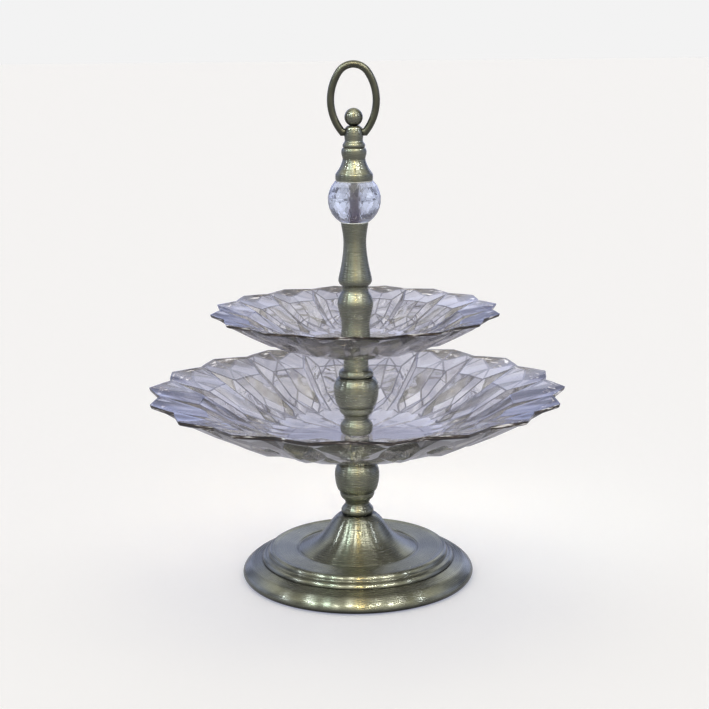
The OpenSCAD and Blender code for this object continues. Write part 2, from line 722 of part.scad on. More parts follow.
// Barrel with a cross hole for the ring
module finial_barrel() {
    color(brass)
        difference() {
            rotate_extrude($fn = turn_fn)
                polygon(concat(smooth([[barrel_r + 0.2, barrel_z],
                    [barrel_r - 0.25, barrel_z + barrel_h * 0.12],
                    [barrel_r, barrel_z + barrel_h * 0.45],
                    [barrel_r - 0.2, barrel_z + barrel_h * 0.7],
                    [barrel_r - 0.8, barrel_z + barrel_h * 0.88],
                    [barrel_r - 2.3, barrel_top_z]]),
                    [[0, barrel_top_z],
                     [0, stud_top_z],
                     [stud_r + thread_gap, stud_top_z],
                     [stud_r + thread_gap, barrel_z]]));
            translate([-barrel_r - 2, 0, ring_z])
                rotate([0, 90, 0])
                    cylinder(r = wire_r + wire_gap, h = 2 * barrel_r + 4, $fn = small_fn);
        }
}

// Round finial with a flat underside that sits on the barrel
module finial_ball() {
    color(brass)
        difference() {
            translate([0, 0, finial_z])
                sphere(r = finial_r, $fn = small_fn);
            translate([-finial_r, -finial_r, barrel_top_z - 2 * finial_r])
                cube([2 * finial_r, 2 * finial_r, 2 * finial_r]);
        }
}

// Oval ring at the wire centre: side arcs, a top arc and a straight pin
oval_mid = oval_h / 2;
oval_side_r = (pow(oval_half_w, 2) + pow(oval_mid - oval_end_r, 2) - pow(oval_end_r, 2))
    / (2 * (oval_half_w - oval_end_r));
oval_side_x = oval_side_r - oval_half_w;
oval_join = atan2(oval_mid - oval_end_r, oval_side_x);
pin_half = barrel_r + 1.3;
pin_angle = acos((pin_half + oval_side_x) / oval_side_r);
oval_mid_z = ring_z + oval_side_r * sin(pin_angle);
side_steps = 16;
wire_sides = 28;

// Points of one arc in the plane of the ring
function ring_arc(x, z, size, from, to, steps) =
    [for (i = [0 : steps]) let (a = from + (to - from) * i / steps)
        [x + size * cos(a), z + size * sin(a)]];

// Points of a list without its last one
function all_but_last(list) = [for (i = [0 : len(list) - 2]) list[i]];

// Closed centre line of the wire, from the right end of the pin round the top
function ring_path() = concat(
    all_but_last(ring_arc(-oval_side_x, oval_mid_z, oval_side_r,
        -pin_angle, oval_join, side_steps)),
    all_but_last(ring_arc(0, oval_mid_z + oval_mid - oval_end_r, oval_end_r,
        oval_join, 180 - oval_join, side_steps)),
    ring_arc(oval_side_x, oval_mid_z, oval_side_r,
        180 - oval_join, 180 + pin_angle, side_steps),
    [[-barrel_r / 2, ring_z], [barrel_r / 2, ring_z]]);

// Heading of the centre line between two of its points
function heading(a, b) = (b - a) / norm(b - a);

// Round of wire at point i, square to the line or mitred at a corner
function wire_round(path, i) =
    let (n = len(path))
    let (before = heading(path[(i + n - 1) % n], path[i]))
    let (after = heading(path[i], path[(i + 1) % n]))
    let (along = heading([0, 0], before + after))
    let (out = [along[1], -along[0]] / (along * after))
    [for (k = [0 : wire_sides - 1])
        let (c = wire_r * cos(k * 360 / wire_sides))
        let (s = wire_r * sin(k * 360 / wire_sides))
        [path[i][0] + c * out[0], s, path[i][1] + c * out[1]]];

// Oval ring handle that swings in the barrel
module ring_handle() {
    path = ring_path();
    n = len(path);
    color(brass)
        polyhedron(convexity = 6,
            points = [for (i = [0 : n - 1]) each wire_round(path, i)],
            faces = [for (i = [0 : n - 1]) for (k = [0 : wire_sides - 1])
                let (a = i * wire_sides)
                let (b = ((i + 1) % n) * wire_sides)
                let (m = (k + 1) % wire_sides)
                each [[a + k, b + m, b + k], [a + k, a + m, b + m]]]);
}

felt_pad();
base_cover();
base_shell();
base_stiffener();
base_spacer();
rod_washer();
rod_nut();
tie_rod();
foot_bead(base_h, lower_bead_h);  // lower_foot_bead
cup_ring(lower_cup_z);  // lower_cup_ring
urn(lower_urn_z);  // lower_urn
collar_bead(lower_collar_z);  // lower_collar
neck(lower_neck_z, neck_h);  // lower_neck
gasket(lower_seat_z);  // lower_gasket_under
bush(lower_seat_z, middle_bead_z);  // lower_bush
lower_bowl();
gasket(lower_over_z);  // lower_gasket_over
foot_bead(middle_bead_z, middle_bead_h);  // middle_foot_bead
cup_ring(middle_cup_z);  // middle_cup_ring
urn(middle_urn_z);  // middle_urn
collar_bead(middle_collar_z);  // middle_collar
neck(middle_neck_z, upper_neck_h);  // middle_neck
gasket(upper_seat_z);  // upper_gasket_under
bush(upper_seat_z, baluster_z);  // upper_bush
upper_bowl();
gasket(upper_over_z);  // upper_gasket_over
baluster();
trumpet_neck();
ball_seat(seat_low_z, seat_low_r);  // ball_seat_lower
crystal_ball();
ball_seat(seat_high_z, seat_high_r);  // ball_seat_upper
bell_cap();
cap_bead();
cap_collar();
cap_stud();
finial_barrel();
finial_ball();
ring_handle();
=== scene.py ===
import json
import math
import bpy
import bmesh
from mathutils import Matrix, Vector


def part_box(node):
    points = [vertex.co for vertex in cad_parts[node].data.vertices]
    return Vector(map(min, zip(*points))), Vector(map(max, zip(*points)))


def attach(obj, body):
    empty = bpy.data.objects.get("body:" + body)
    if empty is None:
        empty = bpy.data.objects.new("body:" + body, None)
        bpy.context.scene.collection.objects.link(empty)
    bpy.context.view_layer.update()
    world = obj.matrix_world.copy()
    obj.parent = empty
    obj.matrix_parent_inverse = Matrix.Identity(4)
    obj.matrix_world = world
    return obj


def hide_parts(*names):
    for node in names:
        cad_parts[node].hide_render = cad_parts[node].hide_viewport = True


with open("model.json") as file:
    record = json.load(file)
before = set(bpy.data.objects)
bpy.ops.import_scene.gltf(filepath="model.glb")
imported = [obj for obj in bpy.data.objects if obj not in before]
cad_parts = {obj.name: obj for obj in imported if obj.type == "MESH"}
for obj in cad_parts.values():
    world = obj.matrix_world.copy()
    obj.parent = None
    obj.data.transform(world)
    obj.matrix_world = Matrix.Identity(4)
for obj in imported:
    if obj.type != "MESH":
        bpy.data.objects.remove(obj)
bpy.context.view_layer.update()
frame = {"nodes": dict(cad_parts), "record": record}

mm = 0.001
print("frame loaded")


def hexColour(value):  # sRGB hex to linear
    parts = [int(value[i:i + 2], 16) / 255 for i in (1, 3, 5)]
    return tuple(p / 12.92 if p <= 0.04045 else ((p + 0.055) / 1.055) ** 2.4 for p in parts) + (1.0,)


def addNode(tree, kind, values=None, links=None, **settings):
    node = tree.nodes.new(kind)
    for key, value in settings.items():
        setattr(node, key, value)
    for key, value in (values or {}).items():
        node.inputs[key].default_value = value
    for key, output in (links or {}).items():
        tree.links.new(output, node.inputs[key])
    return node


def addRamp(tree, source, stops):
    node = addNode(tree, "ShaderNodeValToRGB", links={0: source})
    for stop, colour in stops:
        node.color_ramp.elements.new(stop).color = hexColour(colour)
    node.color_ramp.elements.remove(node.color_ramp.elements[0])
    node.color_ramp.elements.remove(node.color_ramp.elements[len(node.color_ramp.elements) - 1])
    return node


def newMaterial(name):
    material = bpy.data.materials.new(name)
    material.use_nodes = True
    material.node_tree.nodes.clear()
    return material, material.node_tree


def deselectAll():
    if bpy.context.mode != "OBJECT":
        bpy.ops.object.mode_set(mode="OBJECT")
    bpy.ops.object.select_all(action="DESELECT")


def pickOnly(piece):
    deselectAll()
    piece.select_set(True)
    bpy.context.view_layer.objects.active = piece


def selectVerts(piece, test):  # edit mode: select only the vertices that pass the test
    mesh = bmesh.from_edit_mesh(piece.data)
    for vert in mesh.verts:
        vert.select_set(False)
    mesh.select_flush(False)
    for vert in mesh.verts:
        if test(vert.co):
            vert.select_set(True)
    mesh.select_flush(True)
    bmesh.update_edit_mesh(piece.data)


def bridgeOpenEnds(piece):  # edit mode: joins the two open rounds and turns every face outwards
    bpy.ops.mesh.select_all(action="DESELECT")
    mesh = bmesh.from_edit_mesh(piece.data)
    for edge in mesh.edges:
        if edge.is_boundary:
            edge.select_set(True)
    bmesh.update_edit_mesh(piece.data)
    bpy.ops.mesh.bridge_edge_loops()
    bpy.ops.mesh.select_all(action="SELECT")
    bpy.ops.mesh.normals_make_consistent(inside=False)
    bpy.ops.object.mode_set(mode="OBJECT")


def addBevel(piece, name, width, segments, angle):  # width in mm, on edges sharper than the angle in degrees
    bevel = piece.modifiers.new(name, "BEVEL")
    bevel.width = width * mm
    bevel.segments = segments
    bevel.limit_method = "ANGLE"
    bevel.angle_limit = math.radians(angle)
    return bevel


def applyModifiers(piece):
    pickOnly(piece)
    for modifier in list(piece.modifiers):
        bpy.ops.object.modifier_apply(modifier=modifier.name)


def smoothLine(keys, steps):  # smooth curve through radius and height keys
    points = []
    for i in range(len(keys) - 1):
        a, b = keys[max(i - 1, 0)], keys[i]
        c, d = keys[i + 1], keys[min(i + 2, len(keys) - 1)]
        for j in range(steps):
            t = j / steps
            points.append(tuple(
                0.5 * (2 * q + (r - p) * t + (2 * p - 5 * q + 4 * r - s) * t * t
                       + (3 * q - p - 3 * r + s) * t ** 3)
                for p, q, r, s in zip(a, b, c, d)))
    points.append(tuple(keys[-1]))
    return points


def arcLine(r, z, size, start, end, steps):
    angles = [math.radians(start + (end - start) * i / steps) for i in range(steps + 1)]
    return [(r + size * math.cos(a), z + size * math.sin(a)) for a in angles]


def turnPiece(name, profile, segments=96, soften=0.35, closed=True):
    # profile: radius and height in mm, walked once round the section, then spun about the axis;
    # soften: width in mm of the bevel on its sharp edges
    deselectAll()
    r0, z0 = profile[0]
    bpy.ops.mesh.primitive_plane_add(size=mm, location=(r0 * mm, 0, z0 * mm))
    piece = bpy.context.object
    piece.name = name
    bpy.ops.object.transform_apply(location=True, rotation=True, scale=True)
    bpy.ops.object.mode_set(mode="EDIT")
    bpy.ops.mesh.select_all(action="SELECT")
    bpy.ops.mesh.merge(type="CENTER")
    last = (r0, z0)
    for point in profile[1:]:
        step = ((point[0] - last[0]) * mm, 0, (point[1] - last[1]) * mm)
        bpy.ops.mesh.extrude_region_move(TRANSFORM_OT_translate={"value": step})
        last = point
    if closed:
        step = ((r0 - last[0]) * mm, 0, (z0 - last[1]) * mm)
        bpy.ops.mesh.extrude_region_move(TRANSFORM_OT_translate={"value": step})
    bpy.ops.mesh.select_all(action="SELECT")
    bpy.ops.mesh.remove_doubles(threshold=0.001 * mm)
    bpy.ops.mesh.select_all(action="SELECT")
    bpy.ops.mesh.spin(steps=segments, angle=2 * math.pi, center=(0, 0, 0), axis=(0, 0, 1))
    bpy.ops.mesh.select_all(action="SELECT")
    bpy.ops.mesh.remove_doubles(threshold=0.002 * mm)
    bpy.ops.mesh.select_all(action="SELECT")
    bpy.ops.mesh.normals_make_consistent(inside=False)
    bpy.ops.object.mode_set(mode="OBJECT")
    if soften:
        addBevel(piece, "softEdge", soften, 3, 40)
        applyModifiers(piece)
    pickOnly(piece)
    bpy.ops.object.shade_smooth_by_angle(angle=math.radians(35))
    return piece


def copyPiece(piece, name, lift):
    pickOnly(piece)
    bpy.ops.object.duplicate(linked=False)
    twin = bpy.context.object
    twin.name = name
    twin.location.z += lift * mm
    bpy.ops.object.transform_apply(location=True, rotation=True, scale=True)
    return twin


def finishPiece(piece, body, finishes, slot, *nodes):
    for i, finish in enumerate(finishes):
        if i < len(piece.data.materials):
            piece.data.materials[i] = finish
        else:
            piece.data.materials.append(finish)
    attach(piece, body)
    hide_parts(*nodes)


cameraSetup = {
    "distance": 1.01304, "height": 0.38323,  # metres from the column and above the table
    "pitch": 12.18, "yaw": -0.057, "roll": -0.577,  # degrees
    "lens": 73.47, "sensor": 36.0,
}
cameraData = bpy.data.cameras.new("camera")
cameraData.lens = cameraSetup["lens"]
cameraData.sensor_width = cameraSetup["sensor"]
camera = bpy.data.objects.new("camera", cameraData)
bpy.context.scene.collection.objects.link(camera)
turn = (Matrix.Rotation(math.radians(-cameraSetup["yaw"]), 4, "Z")
        @ Matrix.Rotation(math.radians(90 - cameraSetup["pitch"]), 4, "X")
        @ Matrix.Rotation(math.radians(cameraSetup["roll"]), 4, "Z"))
camera.matrix_world = Matrix.Translation((0, -cameraSetup["distance"], cameraSetup["height"])) @ turn
bpy.context.scene.camera = camera


brassFinish = {
    # the seam colour is dark patina and painted shade in recesses
    "base": "#959683", "dark": "#63645b", "hollowPatinaShade": "#26231e", "roughness": 0.27,
    "shadeReach": 6,  # mm, how far a recess reaches; inside it the dip's patina and painted shade keep it dark
    "brushPitch": 0.35,  # mm between brush lines, coarser than real so that it shows
    "brushLength": 16.7,  # mm along one brush line
    "patinaSize": 14,  # mm across one cloud of patina
    "stretch": 0.94,  # how far the brush lines draw highlights out along the profile
}
wireFinish = dict(brassFinish, base="#6b6b5c", dark="#46463e", roughness=0.38, stretch=0.0)


def makeAntiqueBrass(settings, name):
    # brass plate dipped to a bronze patina, brushed on the lathe and lacquered:
    # highlights stretch along the profile, colour drifts between olive and brown;
    # drawn wire has no turning lines, so it doesn't stretch them
    material, tree = newMaterial(name)
    place = addNode(tree, "ShaderNodeTexCoord")
    split = addNode(tree, "ShaderNodeSeparateXYZ", links={0: place.outputs["Object"]})
    flat = addNode(tree, "ShaderNodeCombineXYZ", links={0: split.outputs[0], 1: split.outputs[1]})
    radius = addNode(tree, "ShaderNodeVectorMath", operation="LENGTH", links={0: flat.outputs[0]})
    lines = 1 / (settings["brushPitch"] * mm)
    runs = 1 / (settings["brushLength"] * mm)
    fine = addNode(tree, "ShaderNodeMath", {1: lines}, {0: radius.outputs["Value"]}, operation="MULTIPLY")
    tall = addNode(tree, "ShaderNodeMath", {1: lines}, {0: split.outputs[2]}, operation="MULTIPLY")
    along = addNode(tree, "ShaderNodeMath", {1: runs}, {0: split.outputs[0]}, operation="MULTIPLY")
    brushPlace = addNode(tree, "ShaderNodeCombineXYZ",
                         links={0: fine.outputs[0], 1: tall.outputs[0], 2: along.outputs[0]})
    brush = addNode(tree, "ShaderNodeTexNoise", {"Scale": 1.0, "Detail": 3.0, "Roughness": 0.6},
                    {"Vector": brushPlace.outputs[0]})
    patina = addNode(tree, "ShaderNodeTexNoise",
                     {"Scale": 1 / (settings["patinaSize"] * mm), "Detail": 4.0, "Roughness": 0.55},
                     {"Vector": place.outputs["Object"]})
    blend = addNode(tree, "ShaderNodeMapRange", {"From Min": 0.3, "From Max": 0.7, "To Max": 0.55},
                    {"Value": patina.outputs["Fac"]})
    cloudy = addNode(tree, "ShaderNodeMix", {6: hexColour(settings["base"]), 7: hexColour(settings["dark"])},
                     {0: blend.outputs[0]}, data_type="RGBA")
    # dark patina and painted shade in recesses, from ambient occlusion
    shadeReach = addNode(tree, "ShaderNodeAmbientOcclusion", {"Distance": settings["shadeReach"] * mm}, samples=4)
    patinaShadeMask = addNode(tree, "ShaderNodeMapRange", {"From Min": 0.45, "From Max": 0.92},
                   {"Value": shadeReach.outputs["AO"]})
    colour = addNode(tree, "ShaderNodeMix", {6: hexColour(settings["hollowPatinaShade"])},
                     {0: patinaShadeMask.outputs[0], 7: cloudy.outputs[2]}, data_type="RGBA")
    rough = addNode(tree, "ShaderNodeMapRange", {"From Min": 0.25, "From Max": 0.75,
                    "To Min": settings["roughness"] - 0.005, "To Max": settings["roughness"] + 0.01},
                    {"Value": brush.outputs["Fac"]})
    bump = addNode(tree, "ShaderNodeBump", {"Strength": 0.002, "Distance": 0.03 * mm},
                   {"Height": brush.outputs["Fac"]})
    turning = addNode(tree, "ShaderNodeTangent", direction_type="RADIAL", axis="Z")
    shader = addNode(tree, "ShaderNodeBsdfPrincipled",
                     {"Metallic": 1.0, "Anisotropic": settings["stretch"], "Anisotropic Rotation": 0.25},
                     {"Base Color": colour.outputs[2], "Roughness": rough.outputs[0],
                      "Normal": bump.outputs[0], "Tangent": turning.outputs[0]})
    addNode(tree, "ShaderNodeOutputMaterial", links={"Surface": shader.outputs[0]})
    return material


glassFinish = {
    "tint": "#dad9e2", "edge": "#7d7266", "under": "#b3ad98",  # looked at squarely; edge on and lower side are painted shade
    "clear": 0.95, "ior": 1.45, "shine": 0.25,
    "rippleSize": 9,  # mm across one ripple left by the mould
}
foldShadeFinish = {  # the fine rounded lines between facets, tinted dark as painted shade
    "tint": "#5f5f74", "edge": "#3c3732", "under": "#4c493f",
    "clear": 0.88, "ior": 1.5, "shine": 0.6, "rippleSize": 5,
}
crystalFinish = {
    "tint": "#e9f0ff", "edge": "#cdd8ff", "under": "#e2e8ff",
    "clear": 0.95, "ior": 1.5, "shine": 0.3, "rippleSize": 30,
}
boreShadeFinish = {  # drilled and unpolished; its dark tint is painted shade round the rod
    "tint": "#4c3f4c", "edge": "#2c242c", "under": "#4c3f4c",
    "clear": 0.6, "ior": 1.5, "shine": 0.0, "rippleSize": 2,
}
rimGlintFinish = {
    "clear": 0.05, "ior": 1.5,
    "glintStreak": (14, 14, 1.2),  # mm, length round the rim and height of one painted streak
    # from dark painted shade up to bright painted highlights
    "glintTones": [(0.36, "#120f0d"), (0.5, "#2e2621"), (0.58, "#54493f"), (0.65, "#f4f2f0")],
}


def makePressedGlass(settings, name):
    # soda-lime glass pressed in a mould, fire polished, with a thin smoky lustre:
    # lavender grey where it is looked at squarely; painted shade makes it brown where it is seen edge on
    # and olive on the lower side; the ball's lead crystal is the same shader with bluer, clearer colours
    material, tree = newMaterial(name)
    place = addNode(tree, "ShaderNodeTexCoord")
    ripple = addNode(tree, "ShaderNodeTexNoise", {"Scale": 1 / (settings["rippleSize"] * mm), "Detail": 2.0},
                     {"Vector": place.outputs["Object"]})
    bump = addNode(tree, "ShaderNodeBump", {"Strength": 0.2, "Distance": 0.3 * mm},
                   {"Height": ripple.outputs["Fac"]})
    slant = addNode(tree, "ShaderNodeLayerWeight", {"Blend": 0.35}, {"Normal": bump.outputs[0]})
    edge = addNode(tree, "ShaderNodeMapRange", {"From Min": 0.35, "From Max": 1.0, "To Max": 0.9},
                   {"Value": slant.outputs["Facing"]})
    side = addNode(tree, "ShaderNodeNewGeometry")
    downward = addNode(tree, "ShaderNodeSeparateXYZ", links={0: side.outputs["True Normal"]})
    under = addNode(tree, "ShaderNodeMapRange", {"From Min": -0.15, "From Max": -0.75, "To Max": 0.75},
                    {"Value": downward.outputs[2]})
    body = addNode(tree, "ShaderNodeMix", {6: hexColour(settings["tint"]), 7: hexColour(settings["under"])},
                   {0: under.outputs[0]}, data_type="RGBA")  # painted shade on the lower side
    # brown where it is seen edge on: painted shade
    edgeShadeTint = addNode(tree, "ShaderNodeMix", {7: hexColour(settings["edge"])},
                     {0: edge.outputs[0], 6: body.outputs[2]}, data_type="RGBA")
    shader = addNode(tree, "ShaderNodeBsdfPrincipled",
                     {"Roughness": 0.0, "IOR": settings["ior"], "Transmission Weight": settings["clear"],
                      "Coat Weight": settings["shine"], "Coat IOR": 1.8, "Coat Roughness": 0.02},
                     {"Base Color": edgeShadeTint.outputs[2], "Normal": bump.outputs[0]})
    addNode(tree, "ShaderNodeOutputMaterial", links={"Surface": shader.outputs[0]})
    return material


def makeRimGlintGlass(settings):
    # the same glass where the rim is seen edge on: the light that runs round inside it is painted,
    # dark brown shade with long thin bright painted highlight streaks
    material, tree = newMaterial("pressedGlassRimGlint")
    place = addNode(tree, "ShaderNodeTexCoord")
    streakScale = [1 / (size * mm) for size in settings["glintStreak"]]
    stretched = addNode(tree, "ShaderNodeVectorMath", {1: streakScale},
                        {0: place.outputs["Object"]}, operation="MULTIPLY")
    glintStreaks = addNode(tree, "ShaderNodeTexNoise", {"Scale": 1.0, "Detail": 3.0, "Roughness": 0.6},
                      {"Vector": stretched.outputs[0]})
    colour = addRamp(tree, glintStreaks.outputs["Fac"], settings["glintTones"])
    shader = addNode(tree, "ShaderNodeBsdfPrincipled",
                     {"Roughness": 0.08, "IOR": settings["ior"], "Transmission Weight": settings["clear"],
                      "Coat Weight": 0.4, "Coat IOR": 1.8, "Coat Roughness": 0.05},
                     {"Base Color": colour.outputs[0]})
    addNode(tree, "ShaderNodeOutputMaterial", links={"Surface": shader.outputs[0]})
    return material


zincFinish = {"dark": "#332e38", "light": "#48434d", "mottleSize": 1.43}  # mm across one mottle


def makeZincSteel(settings):
    # black zinc plated steel: dark purplish grey, fine mottled plating, satin
    material, tree = newMaterial("zincPlatedSteel")
    place = addNode(tree, "ShaderNodeTexCoord")
    mottle = addNode(tree, "ShaderNodeTexNoise", {"Scale": 1 / (settings["mottleSize"] * mm), "Detail": 3.0},
                     {"Vector": place.outputs["Object"]})
    colour = addNode(tree, "ShaderNodeMix", {6: hexColour(settings["dark"]), 7: hexColour(settings["light"])},
                     {0: mottle.outputs["Fac"]}, data_type="RGBA")
    rough = addNode(tree, "ShaderNodeMapRange", {"To Min": 0.3, "To Max": 0.45},
                    {"Value": mottle.outputs["Fac"]})
    shader = addNode(tree, "ShaderNodeBsdfPrincipled", {"Metallic": 1.0},
                     {"Base Color": colour.outputs[2], "Roughness": rough.outputs[0]})
    addNode(tree, "ShaderNodeOutputMaterial", links={"Surface": shader.outputs[0]})
    return material


feltFinish = {"dark": "#1d2a22", "light": "#33443a", "fibreSize": 0.555}  # mm across one tuft


def makeFelt(settings):
    # pressed wool felt: matt, fibrous, dark green
    material, tree = newMaterial("pressedWoolFelt")
    place = addNode(tree, "ShaderNodeTexCoord")
    fibre = addNode(tree, "ShaderNodeTexNoise",
                    {"Scale": 1 / (settings["fibreSize"] * mm), "Detail": 5.0, "Roughness": 0.7},
                    {"Vector": place.outputs["Object"]})
    colour = addNode(tree, "ShaderNodeMix", {6: hexColour(settings["dark"]), 7: hexColour(settings["light"])},
                     {0: fibre.outputs["Fac"]}, data_type="RGBA")
    bump = addNode(tree, "ShaderNodeBump", {"Strength": 0.6, "Distance": 0.3 * mm},
                   {"Height": fibre.outputs["Fac"]})
    shader = addNode(tree, "ShaderNodeBsdfPrincipled",
                     {"Roughness": 0.95, "Sheen Weight": 0.5, "Sheen Roughness": 0.5},
                     {"Base Color": colour.outputs[2], "Normal": bump.outputs[0]})
    addNode(tree, "ShaderNodeOutputMaterial", links={"Surface": shader.outputs[0]})
    return material


boardFinish = {"dark": "#5b4634", "light": "#7a624a", "fibreSize": 1.11}  # mm along one fibre


def makeFibreBoard(settings):
    # pressed fibre board: brown, matt, short dark fibres
    material, tree = newMaterial("pressedFibreBoard")
    place = addNode(tree, "ShaderNodeTexCoord")
    fibre = addNode(tree, "ShaderNodeTexNoise",
                    {"Scale": 1 / (settings["fibreSize"] * mm), "Detail": 4.0, "Roughness": 0.7},
                    {"Vector": place.outputs["Object"]})
    colour = addNode(tree, "ShaderNodeMix", {6: hexColour(settings["dark"]), 7: hexColour(settings["light"])},
                     {0: fibre.outputs["Fac"]}, data_type="RGBA")
    bump = addNode(tree, "ShaderNodeBump", {"Strength": 0.3, "Distance": 0.2 * mm},
                   {"Height": fibre.outputs["Fac"]})
    shader = addNode(tree, "ShaderNodeBsdfPrincipled", {"Roughness": 0.8},
                     {"Base Color": colour.outputs[2], "Normal": bump.outputs[0]})
    addNode(tree, "ShaderNodeOutputMaterial", links={"Surface": shader.outputs[0]})
    return material


vinylFinish = {"light": "#d2d2c8", "dark": "#bdbdb4", "cloudSize": 2}  # mm across one cloud


def makeSoftVinyl(settings):
    # soft vinyl washer: milky, satin, slightly see-through
    material, tree = newMaterial("softVinyl")
    place = addNode(tree, "ShaderNodeTexCoord")
    cloud = addNode(tree, "ShaderNodeTexNoise", {"Scale": 1 / (settings["cloudSize"] * mm), "Detail": 2.0},
                    {"Vector": place.outputs["Object"]})
    colour = addNode(tree, "ShaderNodeMix", {6: hexColour(settings["light"]), 7: hexColour(settings["dark"])},
                     {0: cloud.outputs["Fac"]}, data_type="RGBA")
    shader = addNode(tree, "ShaderNodeBsdfPrincipled",
                     {"Roughness": 0.4, "Transmission Weight": 0.3, "IOR": 1.5},
                     {"Base Color": colour.outputs[2]})
    addNode(tree, "ShaderNodeOutputMaterial", links={"Surface": shader.outputs[0]})
    return material


nylonFinish = {"light": "#dcd9cc", "dark": "#cfccbe", "cloudSize": 2.5}  # mm across one cloud


def makeNylon(settings):
    # natural nylon bush: off-white, faintly mottled, waxy
    material, tree = newMaterial("naturalNylon")
    place = addNode(tree, "ShaderNodeTexCoord")
    cloud = addNode(tree, "ShaderNodeTexNoise", {"Scale": 1 / (settings["cloudSize"] * mm), "Detail": 2.0},
                    {"Vector": place.outputs["Object"]})
    colour = addNode(tree, "ShaderNodeMix", {6: hexColour(settings["light"]), 7: hexColour(settings["dark"])},
                     {0: cloud.outputs["Fac"]}, data_type="RGBA")
    shader = addNode(tree, "ShaderNodeBsdfPrincipled", {"Roughness": 0.45, "Subsurface Weight": 0.1},
                     {"Base Color": colour.outputs[2]})
    addNode(tree, "ShaderNodeOutputMaterial", links={"Surface": shader.outputs[0]})
    return material


antiqueBrass = makeAntiqueBrass(brassFinish, "antiqueBrassTurned")
antiqueBrassWire = makeAntiqueBrass(wireFinish, "antiqueBrassDrawnWire")
pressedGlass = makePressedGlass(glassFinish, "pressedGlassLustre")
rimGlintGlass = makeRimGlintGlass(rimGlintFinish)
foldShadeGlass = makePressedGlass(foldShadeFinish, "pressedGlassFoldShade")
cutCrystal = makePressedGlass(crystalFinish, "cutCrystalPolished")
boreShadeCrystal = makePressedGlass(boreShadeFinish, "cutCrystalBoreShade")
cadFinishes = {  # for the pieces that keep the CAD shape
    "zinc_steel": makeZincSteel(zincFinish), "felt": makeFelt(feltFinish),
    "board": makeFibreBoard(boardFinish), "soft_ring": makeSoftVinyl(vinylFinish),
    "bush_plastic": makeNylon(nylonFinish),
}
for part in frame["record"]["subparts"]:
    if part["material_slot"] in cadFinishes:
        node = frame["nodes"][part["node"]]
        node.data.materials.clear()
        node.data.materials.append(cadFinishes[part["material_slot"]])
print("materials made")


def nodeLevels(name):  # lowest and highest point in mm
    low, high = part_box(name)
    return low.z / mm, high.z / mm


def profileOf(node, keys, steps=6):  # keys: share of the node's height, radius in mm
    low, high = nodeLevels(node)
    return smoothLine([(r, low + (high - low) * h) for h, r in keys], steps)


def turnBored(name, node, keys, bore, steps=6):  # a turned piece with one straight bore
    low, high = nodeLevels(node)
    return turnPiece(name, profileOf(node, keys, steps) + [(bore, high), (bore, low)])


def finishBrass(piece, node):
    finishPiece(piece, "stand", [antiqueBrass], "antique_brass", node)


baseSizes = {
    "rimLift": 0.8, "skirtTop": 12.0, "skirtTopRadius": 74.4, "deck": 20.6,
    "middleRidge": 70.2, "topRidge": 65.8, "ridgeRound": 3.4,
    "coneFoot": 42.5, "shoulderRadius": 19.3, "shoulder": 39.8, "crownRadius": 10.9,
    "wall": 1.2, "bore": 3.3,
}


def makeBase(s):
    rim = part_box("base_shell")[1].x / mm
    top = nodeLevels("base_shell")[1]
    lift, skirt, skirtR, deck = s["rimLift"], s["skirtTop"], s["skirtTopRadius"], s["deck"]
    ridge, edge, curl = s["middleRidge"], s["topRidge"], s["ridgeRound"]
    foot, cone, shoulder, wall = s["coneFoot"], s["shoulderRadius"], s["shoulder"], s["wall"]
    step = (deck - skirt) / 2
    outside = smoothLine([
        (rim - 1.4, lift), (rim - 0.28, lift + 1.6), (rim, lift + 3.4), (rim - 1.2, lift + 6),
        (rim - 4, lift + 8.6), ((rim + skirtR) / 2 - 1.6, skirt - 0.9), (skirtR, skirt)], 6)
    outside += arcLine(ridge + 0.2, skirt - 2.1, curl, 74, 104, 4)
    outside += arcLine(ridge - curl, skirt + step - 2.9, curl, 0, 88, 9)
    outside += arcLine(edge - curl, deck + 0.5 - curl, curl, 0, 92, 9)
    outside += smoothLine([
        (edge - curl - 1.4, deck), (foot + 10, deck), (foot + 2.8, deck),
        (foot + 1.6, deck - 0.5), (foot + 0.7, deck - 0.6), (foot, deck - 0.1)], 3)
    outside += smoothLine([
        (foot, deck - 0.1), (foot - 8, deck + 4), (cone + 7.6, deck + 9.4), (cone + 2.6, shoulder - 3.8),
        (cone, shoulder), (cone - 3, top - 3), (cone - 5.6, top - 0.9), (s["crownRadius"], top)], 8)[1:]
    inside = [
        (s["bore"], top), (s["bore"], top - wall), (s["crownRadius"] - 1, top - wall),
        (cone - 5, top - 3.4), (cone - 1.9, shoulder - 1.2), (cone + 1.2, shoulder - 5),
        (cone + 6.2, deck + 7.6), (foot - 9, deck + 2.4), (foot - 1, deck - wall),
        (edge - curl, deck - wall), (edge - 1.6, deck - curl), (edge - 1.2, skirt + 2.7),
        (ridge - 2.2, skirt + 1.4), (ridge - 1.2, skirt - 1.8), (skirtR, skirt - 1.6),
        (rim - 5.6, lift + 7), (rim - 1.8, lift + 3.2), (rim - 2.6, lift + 1.2),
        (rim - 4.6, lift + 1.2), (rim - 4.6, lift)]
    finishBrass(turnPiece("baseShell", outside + inside, 160, 0.25), "base_shell")


makeBase(baseSizes)
print("base made")


columnSizes = {
    "bead": 11.8, "waist": 8.7, "cup": 12.65, "urn": 16.25, "collar": 12.6, "neck": 8.9, "bore": 3.3,
}


